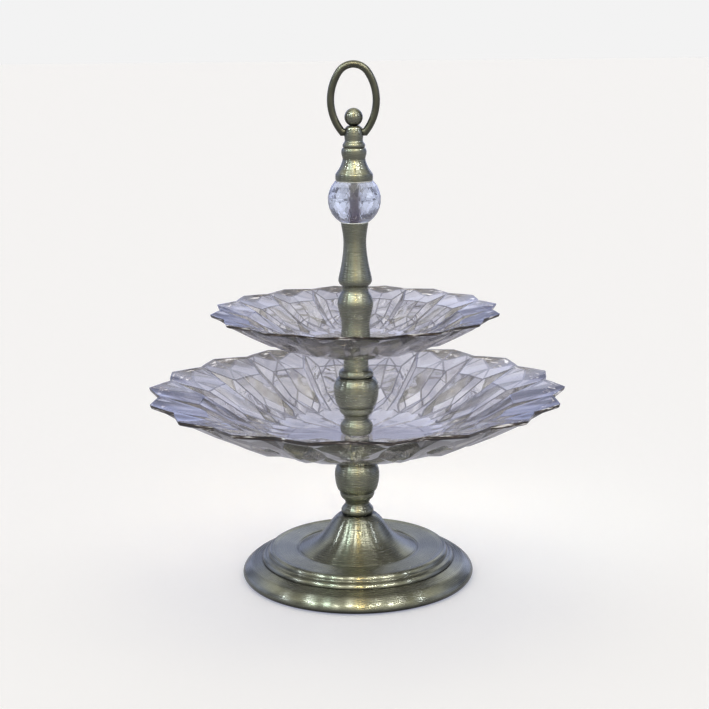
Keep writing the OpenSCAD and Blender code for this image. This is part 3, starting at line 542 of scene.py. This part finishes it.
def footBead(name, node, s):
    low, high = nodeLevels(node)
    waistZ = high - 3.6
    grooveZ = waistZ - 2.9
    profile = smoothLine([
        (s["bead"] - 1.2, low), (s["bead"] - 0.5, low + 0.7), (s["bead"], (low + grooveZ) / 2 - 0.1),
        (s["bead"] - 0.25, grooveZ - 0.9), (s["bead"] - 0.95, grooveZ)], 6)
    profile += smoothLine([
        (s["bead"] - 1.15, grooveZ + 0.3), ((s["bead"] + s["waist"]) / 2 - 0.5, grooveZ + 1.5),
        (s["waist"], waistZ), (s["waist"] + 0.2, high - 2.2), (s["waist"] + 0.9, high - 0.7),
        (s["waist"] + 1.3, high)], 6)
    profile += [(s["bore"], high), (s["bore"], low)]
    finishBrass(turnPiece(name, profile), node)


def cupRing(name, node, s):
    cup = s["cup"]
    keys = [(0.0, s["waist"] + 1.3), (0.14, cup - 1.5), (0.38, cup - 0.6), (0.66, cup - 0.15), (0.92, cup),
            (1.0, cup - 0.3)]
    return turnBored(name, node, keys, s["bore"])


def urnBody(name, node, s):
    urn = s["urn"]
    keys = [(0.0, s["cup"] - 0.1), (0.04, urn - 2.6), (0.13, urn - 1.55), (0.27, urn - 0.75),
            (0.42, urn - 0.25), (0.6, urn), (0.74, urn - 0.35), (0.84, urn - 1.05), (0.93, urn - 2.2),
            (1.0, urn - 4)]
    return turnBored(name, node, keys, s["bore"])


def collarBead(name, node, s):
    collar = s["collar"]
    keys = [(0.0, collar - 1.3), (0.17, collar - 0.35), (0.45, collar), (0.76, collar - 0.4),
            (1.0, collar - 1.5)]
    return turnBored(name, node, keys, s["bore"], 7)


def neckTube(name, node, s):
    low, high = nodeLevels(node)
    profile = smoothLine([
        (s["neck"] + 0.8, low), (s["neck"] + 0.15, low + 1), (s["neck"], (low + high) / 2),
        (s["neck"] + 0.1, high - 1), (s["neck"] + 0.2, high)], 6)
    finishBrass(turnPiece(name, profile + [(s["bore"], high), (s["bore"], low)]), node)


footBead("lowerFootBead", "lower_foot_bead", columnSizes)
footBead("middleFootBead", "middle_foot_bead", columnSizes)
neckTube("lowerNeck", "lower_neck", columnSizes)
neckTube("middleNeck", "middle_neck", columnSizes)
for shape, kind in ((cupRing, "cup_ring"), (urnBody, "urn"), (collarBead, "collar")):
    title = kind.title().replace("_", "")
    lowerOne = shape("lower" + title, "lower_" + kind, columnSizes)
    lift = nodeLevels("middle_" + kind)[0] - nodeLevels("lower_" + kind)[0]
    middleOne = copyPiece(lowerOne, "middle" + title, lift)
    finishBrass(lowerOne, "lower_" + kind)
    finishBrass(middleOne, "middle_" + kind)
print("column made")


# stem above the upper bowl
stemSizes = {
    "balusterFoot": 10.6, "baluster": 12.8, "trumpet": 11.9, "trumpetWaist": 8.05, "trumpetTop": 9.7,
    "bore": 3.3,
}


def makeStem(s):
    foot, top = s["balusterFoot"], s["baluster"]
    keys = [(0.0, foot + 0.2), (0.12, foot - 0.1), (0.27, foot - 0.6), (0.4, foot), (0.53, top - 1),
            (0.66, top), (0.745, top - 0.4), (0.83, top - 1.7), (0.89, top - 3.1), (0.94, top - 3.5),
            (1.0, top - 3.4)]
    finishBrass(turnBored("baluster", "baluster", keys, s["bore"]), "baluster")
    wide, waist = s["trumpet"], s["trumpetWaist"]
    keys = [(0.0, top - 3.4), (0.025, wide - 1.1), (0.06, wide - 0.2), (0.1, wide), (0.175, wide - 0.6),
            (0.27, wide - 1.6), (0.365, waist + 1.45), (0.53, waist + 0.4), (0.69, waist),
            (0.83, waist + 0.45), (0.95, s["trumpetTop"] - 0.3), (1.0, s["trumpetTop"])]
    finishBrass(turnBored("trumpetNeck", "trumpet_neck", keys, s["bore"]), "trumpet_neck")


makeStem(stemSizes)

capSizes = {
    "bell": 13.1, "bellTop": 8.0, "bead": 8.8, "collar": 7.8, "barrel": 6.6, "finial": 6.4,
    "thread": 3.1, "stud": 2.1,
    "hole": 2.65, "holeLift": 7.0,  # the ring's hole: its radius, and its height above the barrel's foot
}


def makeBell(s):
    low, high = nodeLevels("bell_cap")
    rodTop = nodeLevels("tie_rod")[1]
    wide, top = s["bell"], s["bellTop"]
    keys = [(0.0, wide - 0.3), (0.035, wide), (0.27, wide), (0.38, wide - 0.9), (0.54, wide - 2.6),
            (0.72, top + 1.15), (0.9, top + 0.2), (1.0, top)]
    bell = turnPiece("bellCap", profileOf("bell_cap", keys, 8)
                     + [(s["stud"], high), (s["stud"], rodTop), (s["thread"], rodTop), (s["thread"], low)])
    finishBrass(bell, "bell_cap")
    bead = s["bead"]
    keys = [(0.0, top - 0.15), (0.22, bead - 0.5), (0.45, bead - 0.1), (0.7, bead), (0.9, bead - 0.35),
            (1.0, bead - 1)]
    finishBrass(turnBored("capBead", "cap_bead", keys, s["stud"], 8), "cap_bead")
    keys = [(0.0, s["collar"] - 0.5), (0.3, s["collar"]), (0.65, s["collar"]), (1.0, s["barrel"] + 0.2)]
    finishBrass(turnBored("capCollar", "cap_collar", keys, s["stud"], 8), "cap_collar")


def makeFinial(s):
    low, high = nodeLevels("finial_barrel")
    wide = s["barrel"]
    keys = [(0.0, wide + 0.2), (0.12, wide - 0.25), (0.45, wide), (0.7, wide - 0.2), (0.88, wide - 0.8),
            (1.0, wide - 2.3)]
    studTop = nodeLevels("cap_stud")[1]
    barrel = turnPiece("finialBarrel", profileOf("finial_barrel", keys, 8)
                       + [(0, high), (0, studTop), (s["stud"], studTop), (s["stud"], low)], 96, 0)
    deselectAll()
    bpy.ops.mesh.primitive_cylinder_add(vertices=48, radius=s["hole"] * mm, depth=20 * mm,
                                        location=(0, 0, (low + s["holeLift"]) * mm),
                                        rotation=(0, math.radians(90), 0))
    drill = bpy.context.object
    pickOnly(barrel)
    cut = barrel.modifiers.new("ringHole", "BOOLEAN")
    cut.object = drill
    cut.solver = "EXACT"
    addBevel(barrel, "softEdge", 0.25, 2, 45)
    applyModifiers(barrel)
    bpy.ops.object.shade_smooth_by_angle(angle=math.radians(35))
    deselectAll()
    drill.select_set(True)
    bpy.ops.object.delete()
    finishBrass(barrel, "finial_barrel")
    low, high = nodeLevels("finial_ball")
    centre = high - s["finial"]
    start = math.degrees(math.asin((low - centre) / s["finial"]))
    profile = [(0, low)] + arcLine(0, centre, s["finial"], start, 90, 24)
    finishBrass(turnPiece("finialBall", profile, 64, 0.2, False), "finial_ball")


makeBell(capSizes)
makeFinial(capSizes)
print("stem and cap made")

ringSizes = {"wire": 2.55, "halfWidth": 15.8, "endRadius": 12.1, "height": 48.8, "pinHalf": 7.9}


def ringLine(s, z):  # centre line of the bent wire, from the right end of the pin round the top
    middle = s["height"] / 2
    rise = middle - s["endRadius"]
    side = (s["halfWidth"] ** 2 + rise ** 2 - s["endRadius"] ** 2) / (2 * (s["halfWidth"] - s["endRadius"]))
    offset = side - s["halfWidth"]
    join = math.degrees(math.atan2(rise, offset))
    foot = math.degrees(math.acos((s["pinHalf"] + offset) / side))
    centre = z + side * math.sin(math.radians(foot))
    line = arcLine(-offset, centre, side, -foot, join, 24)[:-1]
    line += arcLine(0, centre + rise, s["endRadius"], join, 180 - join, 24)[:-1]
    line += arcLine(offset, centre, side, 180 - join, 180 + foot, 24)
    return line


def makeRing(s):
    z = nodeLevels("finial_barrel")[0] + capSizes["holeLift"]
    line = ringLine(s, z) + [(-capSizes["barrel"] / 2, z), (capSizes["barrel"] / 2, z)]
    count = len(line)
    deselectAll()
    bpy.ops.mesh.primitive_circle_add(vertices=32, radius=s["wire"] * mm, location=(0, 0, 0))
    ring = bpy.context.object
    ring.name = "ringHandle"
    bpy.ops.object.mode_set(mode="EDIT")
    bpy.ops.mesh.select_all(action="SELECT")

    def station(i):  # place of one round of wire: its centre and the way it faces
        here, following = Vector(line[i]), Vector(line[(i + 1) % count])
        before = (here - Vector(line[i - 1])).normalized()
        after = (following - here).normalized()
        along = (before + after).normalized()
        stretch = 1 / max(along.dot(after), 0.2)
        out = Vector((along.y, 0, -along.x)) * stretch
        heading = Vector((along.x, 0, along.y))
        place = Matrix((out, Vector((0, 1, 0)), heading)).transposed().to_4x4()
        place.translation = Vector((line[i][0] * mm, 0, line[i][1] * mm))
        return place

    last = Matrix.Identity(4)
    for i in range(count):
        if i:
            bpy.ops.mesh.extrude_region_move(TRANSFORM_OT_translate={"value": (0, 0, 0)})
        place = station(i)
        change = place @ last.inverted()
        mesh = bmesh.from_edit_mesh(ring.data)
        for vert in mesh.verts:
            if vert.select:
                vert.co = change @ vert.co
        bmesh.update_edit_mesh(ring.data)
        last = place
    bridgeOpenEnds(ring)
    bpy.ops.object.shade_smooth_by_angle(angle=math.radians(40))
    finishPiece(ring, "ring", [antiqueBrassWire], "antique_brass", "ring_handle")


makeRing(ringSizes)
print("ring made")

# pressed glass bowls: half of one point is modelled, mirrored, and repeated round the column
lowerBowlSizes = {
    "points": 18, "turn": -1.68, "tip": 150.0, "notch": 9.6, "floorRadius": 52.0, "floor": 8.0,
    "rimShare": 0.34, "petalDrop": 4.2, "bore": 5.08, "edge": 0.75,
}
upperBowlSizes = {
    "points": 16, "turn": 9.3, "tip": 103.4, "notch": 6.8, "floorRadius": 36.0, "floor": 6.0,
    "rimShare": 0.34, "petalDrop": 3.15, "bore": 5.08, "edge": 0.6,
}
glassPattern = {
    "kiteHalf": 0.34, "diamondHalf": 0.27,  # half width of a facet, as a share of one point's angle
    "foldAngle": 13,  # degrees, folds sharper than this are fire polished round
    "landDepth": 0.7,  # share of the floor's thickness that the rim's land reaches down
}


def bowlRows(s, low, high):
    # each row: half width of the pattern, radius and height on the point, side and notch lines,
    # and which way the folds below it run
    floorZ = low + s["floor"]
    rise = high - floorZ
    run = s["tip"] - s["floorRadius"]
    rim = s["floor"] * s["rimShare"]
    valley = s["tip"] - s["notch"]
    kite, diamond = glassPattern["kiteHalf"], glassPattern["diamondHalf"]
    side = s["tip"] - s["notch"] * kite * 2
    bore = s["bore"]

    def at(share, lift, drop=0.0):
        return (s["floorRadius"] + run * share, floorZ + rise * lift - drop)

    f, d = s["floor"], s["petalDrop"]
    rimZ = floorZ + rise
    foot = (s["floorRadius"] - 1.5, low)
    return [
        (diamond, (bore, floorZ), (bore, floorZ), (bore, floorZ), "flat"),
        (diamond, at(0, 0), at(0, 0), at(0, 0), "in"),
        (diamond, at(0.1, 0.03), at(0.13, 0.075), at(0.11, 0.05), "in"),
        (diamond, at(0.21, 0.1), at(0.2, 0.15), at(0.21, 0.12), "in"),
        (kite, at(0.345, 0.28), at(0.35, 0.3), at(0.365, 0.25), "in"),
        (kite, at(0.6, 0.77), at(0.62, 0.74), at(0.69, 0.69), "out"),
        (kite, at(0.93, 0.945), (side - run * 0.075, floorZ + rise * 0.93),
         (valley - run * 0.06, floorZ + rise * 0.94), "in"),
        (kite, (s["tip"], rimZ), (side, floorZ + rise * 0.99), (valley, floorZ + rise * 0.985), "in"),
        (kite, (s["tip"] - 0.8, rimZ - rim), (side - 0.8, floorZ + rise * 0.985 - rim),
         (valley - 0.8, floorZ + rise * 0.98 - rim), "out"),
        (kite, at(0.82, 0.86, f * 0.5), at(0.8, 0.8, f * 0.5), at(0.79, 0.78, f * 0.55), "in"),
        (kite, at(0.62, 0.68, f * 0.72), at(0.61, 0.56, f * 0.72), at(0.6, 0.53, f * 0.75), "out"),
        (kite, at(0.46, 0.47, f * 0.8), at(0.42, 0.4, f * 0.8 + d * 0.7), at(0.41, 0.4, f * 0.8 + d), "in"),
        (kite, at(0.32, 0.26, f * 0.85), at(0.3, 0.24, f * 0.85), at(0.29, 0.23, f * 0.9), "in"),
        (kite, at(0.12, 0.05, f * 0.82), at(0.12, 0.05, f * 0.86), at(0.12, 0.04, f * 0.84), "in"),
        (kite, foot, foot, foot, "flat"),
        (kite, (bore, low), (bore, low), (bore, low), "flat"),
        (diamond, (bore, floorZ), (bore, floorZ), (bore, floorZ), "flat"),
    ]


def makeBowl(name, node, body, s, finishes):
    low, high = nodeLevels(node)
    pitch = 2 * math.pi / s["points"]
    grid, leans = [], []
    for half, point, side, notch, lean in bowlRows(s, low, high):
        angles = (0, half * pitch, pitch / 2)
        grid.append([Vector((r * math.cos(a) * mm, r * math.sin(a) * mm, z * mm))
                     for (r, z), a in zip((point, side, notch), angles)])
        leans.append(lean)
    deselectAll()
    bpy.ops.mesh.primitive_plane_add(size=mm, location=grid[0][0])
    bowl = bpy.context.object
    bowl.name = name
    bpy.ops.object.transform_apply(location=True, rotation=True, scale=True)
    bpy.ops.object.mode_set(mode="EDIT")
    bpy.ops.mesh.select_all(action="SELECT")
    bpy.ops.mesh.merge(type="CENTER")
    for here, there in zip(grid[0], grid[0][1:]):
        bpy.ops.mesh.extrude_region_move(TRANSFORM_OT_translate={"value": there - here})
    bpy.ops.mesh.select_all(action="SELECT")
    for before, row in zip(grid, grid[1:]):
        bpy.ops.mesh.extrude_region_move(TRANSFORM_OT_translate={"value": row[0] - before[0]})
        mesh = bmesh.from_edit_mesh(bowl.data)
        fresh = [v for v in mesh.verts if v.select]
        for old, new in zip(before[1:], row[1:]):
            here = old + row[0] - before[0]
            vert = min(fresh, key=lambda v: (v.co - here).length)
            vert.co += new - here
            fresh.remove(vert)
        bmesh.update_edit_mesh(bowl.data)
    for i in range(1, len(grid) - 1):  # a fold across each quad makes the facets
        if leans[i] == "flat":
            continue
        for inner in (0, 2):
            pair = (grid[i][inner], grid[i + 1][1])
            if leans[i] == "out":
                pair = (grid[i][1], grid[i + 1][inner])
            bpy.ops.mesh.select_all(action="DESELECT")
            mesh = bmesh.from_edit_mesh(bowl.data)
            for place in pair:
                min(mesh.verts, key=lambda v: (v.co - place).length).select_set(True)
            bmesh.update_edit_mesh(bowl.data)
            bpy.ops.mesh.vert_connect()
    bpy.ops.object.mode_set(mode="OBJECT")
    mirror = bowl.modifiers.new("otherHalf", "MIRROR")
    mirror.use_axis = (False, True, False)
    mirror.merge_threshold = 0.01 * mm
    applyModifiers(bowl)
    bpy.ops.object.mode_set(mode="EDIT")
    bpy.ops.mesh.select_all(action="SELECT")
    bpy.ops.mesh.spin(steps=s["points"] - 1, angle=2 * math.pi - pitch, dupli=True,
                      center=(0, 0, 0), axis=(0, 0, 1))
    bpy.ops.mesh.select_all(action="SELECT")
    bpy.ops.mesh.remove_doubles(threshold=0.02 * mm)
    bpy.ops.mesh.select_all(action="SELECT")
    bpy.ops.mesh.normals_make_consistent(inside=False)
    bpy.ops.object.mode_set(mode="OBJECT")
    bowl.rotation_euler = (0, 0, math.radians(s["turn"]))
    bpy.ops.object.transform_apply(location=True, rotation=True, scale=True)
    pickOnly(bowl)
    bpy.ops.object.shade_smooth()
    for finish in finishes:
        bowl.data.materials.append(finish)
    polish = addBevel(bowl, "firePolish", s["edge"], 2, glassPattern["foldAngle"])
    polish.material = 2  # the fold finish, dark painted shade
    polish.harden_normals = True
    applyModifiers(bowl)
    landFoot = (high - s["floor"] * glassPattern["landDepth"]) * mm
    for face in bowl.data.polygons:  # faces high up that look outwards are the land round the rim
        out = Vector((face.center.x, face.center.y, 0)).normalized()
        if face.normal.dot(out) > 0.12 and face.center.z > landFoot:
            face.material_index = 1  # the rim finish, painted shade and highlight streaks
    bowl.visible_shadow = False  # lamps shine through the glass
    finishPiece(bowl, body, finishes, "pressed_glass", node)


bowlFinishes = [pressedGlass, rimGlintGlass, foldShadeGlass]
makeBowl("lowerBowl", "lower_bowl", "lower_tier", lowerBowlSizes, bowlFinishes)
makeBowl("upperBowl", "upper_bowl", "upper_tier", upperBowlSizes, bowlFinishes)
print("bowls made")

crystalSizes = {"radius": 18.7, "height": 28.4, "lowShare": 0.546, "facets": 22, "bands": 8, "bore": 3.2}


def makeCrystal(s):
    low, high = nodeLevels("crystal_ball")
    middle = low + s["height"] * s["lowShare"]
    start = math.asin((low - middle) / s["radius"])
    stop = math.asin((high - middle) / s["radius"])
    levels = [start + (stop - start) * i / s["bands"] for i in range(s["bands"] + 1)]
    deselectAll()
    first = s["radius"] * math.cos(levels[0])
    bpy.ops.mesh.primitive_circle_add(vertices=s["facets"], radius=first * mm, location=(0, 0, low * mm))
    ball = bpy.context.object
    ball.name = "crystalBall"
    bpy.ops.object.transform_apply(location=True, rotation=True, scale=True)
    bpy.ops.object.mode_set(mode="EDIT")
    bpy.ops.mesh.select_all(action="SELECT")
    radius, height = first, low
    for level in levels[1:]:
        bpy.ops.mesh.extrude_region_move(TRANSFORM_OT_translate={"value": (0, 0, 0)})
        wider = s["radius"] * math.cos(level)
        z = middle + s["radius"] * math.sin(level)
        size = wider / radius
        bpy.ops.transform.resize(value=(size, size, 1), center_override=(0, 0, 0))
        bpy.ops.transform.translate(value=(0, 0, (z - height) * mm))
        bpy.ops.transform.rotate(value=math.pi / s["facets"], orient_axis="Z", center_override=(0, 0, 0))
        radius, height = wider, z
    bpy.ops.mesh.select_all(action="SELECT")
    bpy.ops.mesh.quads_convert_to_tris(quad_method="SHORTEST_DIAGONAL")
    for z, ring in ((high, levels[-1]), (low, levels[0])):  # flats, then the bore
        selectVerts(ball, lambda co: abs(co.z - z * mm) < 0.01 * mm)
        bpy.ops.mesh.extrude_region_move(TRANSFORM_OT_translate={"value": (0, 0, 0)})
        size = s["bore"] / (s["radius"] * math.cos(ring))
        bpy.ops.transform.resize(value=(size, size, 1), center_override=(0, 0, 0))
    bridgeOpenEnds(ball)
    addBevel(ball, "polishedEdge", 0.12, 1, 4)
    applyModifiers(ball)
    ball.data.materials.append(cutCrystal)
    ball.data.materials.append(boreShadeCrystal)
    # the bore's dark tint is painted shade round the rod
    for face in ball.data.polygons:
        if Vector(face.center[:2]).length < s["bore"] * 1.1 * mm and abs(face.normal.z) < 0.5:
            face.material_index = 1
    ball.visible_shadow = False  # lamps shine through the crystal
    finishPiece(ball, "stand", [cutCrystal, boreShadeCrystal], "crystal", "crystal_ball")


makeCrystal(crystalSizes)
print("crystal made")

# studio: pale floor and air, a darker room that only gloss and glass see, and small ceiling lamps
studio = {
    "air": "#f3f3f3", "floorSize": 60.0,  # metres
    "floorPaint": (0.8, 0.77, 0.72, 1), "floorGlow": (0.247, 0.268, 0.349, 1),  # as it is seen
    "floorBounce": (0.4, 0.4, 0.44, 1),  # as the brass mirrors it
    "through": [(0.38, "#35313c"), (0.44, "#acadba"), (0.55, "#cccdd8"), (0.63, "#f4f5fb")],  # as seen through glass: painted patches of shade and light
    "shadePatchCount": 2.6, "speckCount": 300.0,  # patches of painted shade and light seen through glass, and paint specks, in one metre of floor
    "slate": (0.34, 0.38, 0.6, 1), "front": (0.32, 0.315, 0.29, 1), "ceiling": (0.78, 0.75, 0.6, 1),
    "veil": [  # the room seen through glass, from the table's level up to the ceiling
        (0.02, "#d2d3dd"), (0.2, "#c8c8d2"), (0.34, "#46434a"),
        (0.55, "#6a6460"), (0.75, "#abacb8"), (0.97, "#cdcdd4")],
    "bandCount": 3.4,  # how closely the room's light and dark bands follow each other
    "lampRing": 1.9, "lampSize": 0.08, "lampPower": 4.0,  # metres, metres, watts
    "lamps": [  # degrees to the side, degrees up, share of the power, colour
        (-82, 30, 0.7, "#dfe8ff"), (-66, 50, 0.8, "#e8f1ff"), (-52, 40, 0.9, "#e6fbff"),
        (-38, 47, 1.1, "#e6fbff"), (-24, 38, 0.8, "#ffffff"), (-11, 52, 1.0, "#ffffff"),
        (2, 44, 1.5, "#ffe2a6"), (13, 36, 0.8, "#fff8e8"), (24, 50, 1.1, "#ffffff"),
        (37, 41, 1.2, "#ffffff"), (52, 48, 0.8, "#f2f2ff"), (70, 34, 0.7, "#dfe6ff")],
}


def makeFloor(s):
    deselectAll()
    bpy.ops.mesh.primitive_plane_add(size=s["floorSize"], location=(0, 0, 0))
    floor = bpy.context.object
    floor.name = "floor"
    material, tree = newMaterial("paintedStudioFloor")  # matt paint; its own glow keeps the view of it even
    place = addNode(tree, "ShaderNodeTexCoord")
    speck = addNode(tree, "ShaderNodeTexNoise", {"Scale": s["speckCount"], "Detail": 2.0},
                    {"Vector": place.outputs["Object"]})
    rough = addNode(tree, "ShaderNodeMapRange", {"To Min": 0.85, "To Max": 0.95},
                    {"Value": speck.outputs["Fac"]})
    paint = addNode(tree, "ShaderNodeBsdfPrincipled",
                    {"Base Color": s["floorPaint"], "Specular IOR Level": 0.0},
                    {"Roughness": rough.outputs[0]})
    glow = addNode(tree, "ShaderNodeEmission", {"Color": s["floorGlow"]})
    lit = addNode(tree, "ShaderNodeAddShader", links={0: paint.outputs[0], 1: glow.outputs[0]})
    bounce = addNode(tree, "ShaderNodeEmission", {"Color": s["floorBounce"]})
    # seen only through glass: patches of painted shade and light
    shadePatches = addNode(tree, "ShaderNodeTexNoise", {"Scale": s["shadePatchCount"], "Detail": 2.0},
                      {"Vector": place.outputs["Object"]})
    throughTone = addRamp(tree, shadePatches.outputs["Fac"], s["through"])
    through = addNode(tree, "ShaderNodeEmission", links={"Color": throughTone.outputs[0]})
    ray = addNode(tree, "ShaderNodeLightPath")
    unseen = addNode(tree, "ShaderNodeMixShader", links={
        0: ray.outputs["Is Transmission Ray"], 1: bounce.outputs[0], 2: through.outputs[0]})
    whole = addNode(tree, "ShaderNodeMixShader", links={
        0: ray.outputs["Is Camera Ray"], 1: unseen.outputs[0], 2: lit.outputs[0]})
    addNode(tree, "ShaderNodeOutputMaterial", links={"Surface": whole.outputs[0]})
    floor.data.materials.append(material)
    return floor


def makeWorld(s):
    world = bpy.data.worlds.new("studioAir")
    bpy.context.scene.world = world
    world.use_nodes = True
    tree = world.node_tree
    tree.nodes.clear()
    ray = addNode(tree, "ShaderNodeLightPath")
    seen = addNode(tree, "ShaderNodeBackground", {"Color": hexColour(s["air"]), "Strength": 1.0})
    place = addNode(tree, "ShaderNodeTexCoord")
    split = addNode(tree, "ShaderNodeSeparateXYZ", links={0: place.outputs["Generated"]})
    flat = addNode(tree, "ShaderNodeCombineXYZ", links={0: split.outputs[0], 1: split.outputs[1]})
    compass = addNode(tree, "ShaderNodeVectorMath", operation="NORMALIZE", links={0: flat.outputs[0]})
    bands = addNode(tree, "ShaderNodeTexNoise", {"Scale": s["bandCount"], "Detail": 3.0, "Roughness": 0.7},
                    {"Vector": compass.outputs[0]})
    bandPower = addNode(tree, "ShaderNodeMapRange",
                        {"From Min": 0.4, "From Max": 0.6, "To Min": 0.2, "To Max": 2.2},
                        {"Value": bands.outputs["Fac"]})
    veilPower = addNode(tree, "ShaderNodeMapRange",
                        {"From Min": 0.38, "From Max": 0.62, "To Min": 0.6, "To Max": 1.45},
                        {"Value": bands.outputs["Fac"]})
    forward = addNode(tree, "ShaderNodeMapRange", {"From Min": 0.25, "From Max": -0.55},
                      {"Value": split.outputs[1]})
    walls = addNode(tree, "ShaderNodeMix", {6: s["slate"], 7: s["front"]}, {0: forward.outputs[0]},
                    data_type="RGBA")
    above = addNode(tree, "ShaderNodeMapRange", {"From Min": 0.35, "From Max": 0.85},
                    {"Value": split.outputs[2]})
    roomTone = addNode(tree, "ShaderNodeMix", {7: s["ceiling"]}, {0: above.outputs[0], 6: walls.outputs[2]},
                       data_type="RGBA")
    mirrored = addNode(tree, "ShaderNodeBackground",
                       links={"Color": roomTone.outputs[2], "Strength": bandPower.outputs[0]})
    veilTone = addRamp(tree, split.outputs[2], s["veil"])
    veil = addNode(tree, "ShaderNodeBackground",
                   links={"Color": veilTone.outputs[0], "Strength": veilPower.outputs[0]})
    room = addNode(tree, "ShaderNodeMixShader", links={
        0: ray.outputs["Is Transmission Ray"], 1: mirrored.outputs[0], 2: veil.outputs[0]})
    both = addNode(tree, "ShaderNodeMixShader", links={
        0: ray.outputs["Is Camera Ray"], 1: room.outputs[0], 2: seen.outputs[0]})
    addNode(tree, "ShaderNodeOutputWorld", links={"Surface": both.outputs[0]})


def softBox(name, place, target, size, power, colour, skip):
    data = bpy.data.lights.new(name, "AREA")
    data.shape = "RECTANGLE"
    data.size, data.size_y = size
    data.energy = power
    data.color = hexColour(colour)[:3]
    box = bpy.data.objects.new(name, data)
    bpy.context.scene.collection.objects.link(box)
    box.location = place
    box.rotation_euler = (Vector(target) - Vector(place)).to_track_quat("-Z", "Y").to_euler()
    box.visible_camera = False
    box.light_linking.receiver_collection = skip


def makeLamps(s, floor):
    unlit = bpy.data.collections.new("notTheFloor")  # lamps light the object, the room lights the floor
    unlit.objects.link(floor)
    unlit.collection_objects[0].light_linking.link_state = "EXCLUDE"
    softBox("overheadBox", (0, -0.2, 2.0), (0, 0, 0.1), (1.4, 1.0), 3, "#ffffff", unlit)
    softBox("backBox", (0.3, 1.8, 1.0), (0, 0, 0.15), (1.4, 0.5), 1.2, "#f4f6ff", unlit)
    ring, size = s["lampRing"], s["lampSize"]
    for i, (side, up, share, colour) in enumerate(s["lamps"]):
        a, h = math.radians(side), math.radians(up)
        out = ring * math.cos(h)
        place = (out * math.sin(a), -out * math.cos(a), ring * math.sin(h) + 0.1)
        softBox("ceilingLamp%d" % i, place, (0, 0, 0.1), (size, size), s["lampPower"] * share, colour, unlit)


floor = makeFloor(studio)
makeWorld(studio)
makeLamps(studio, floor)
bpy.context.scene.view_settings.view_transform = "Standard"
bpy.context.scene.view_settings.look = "None"
print("studio made")
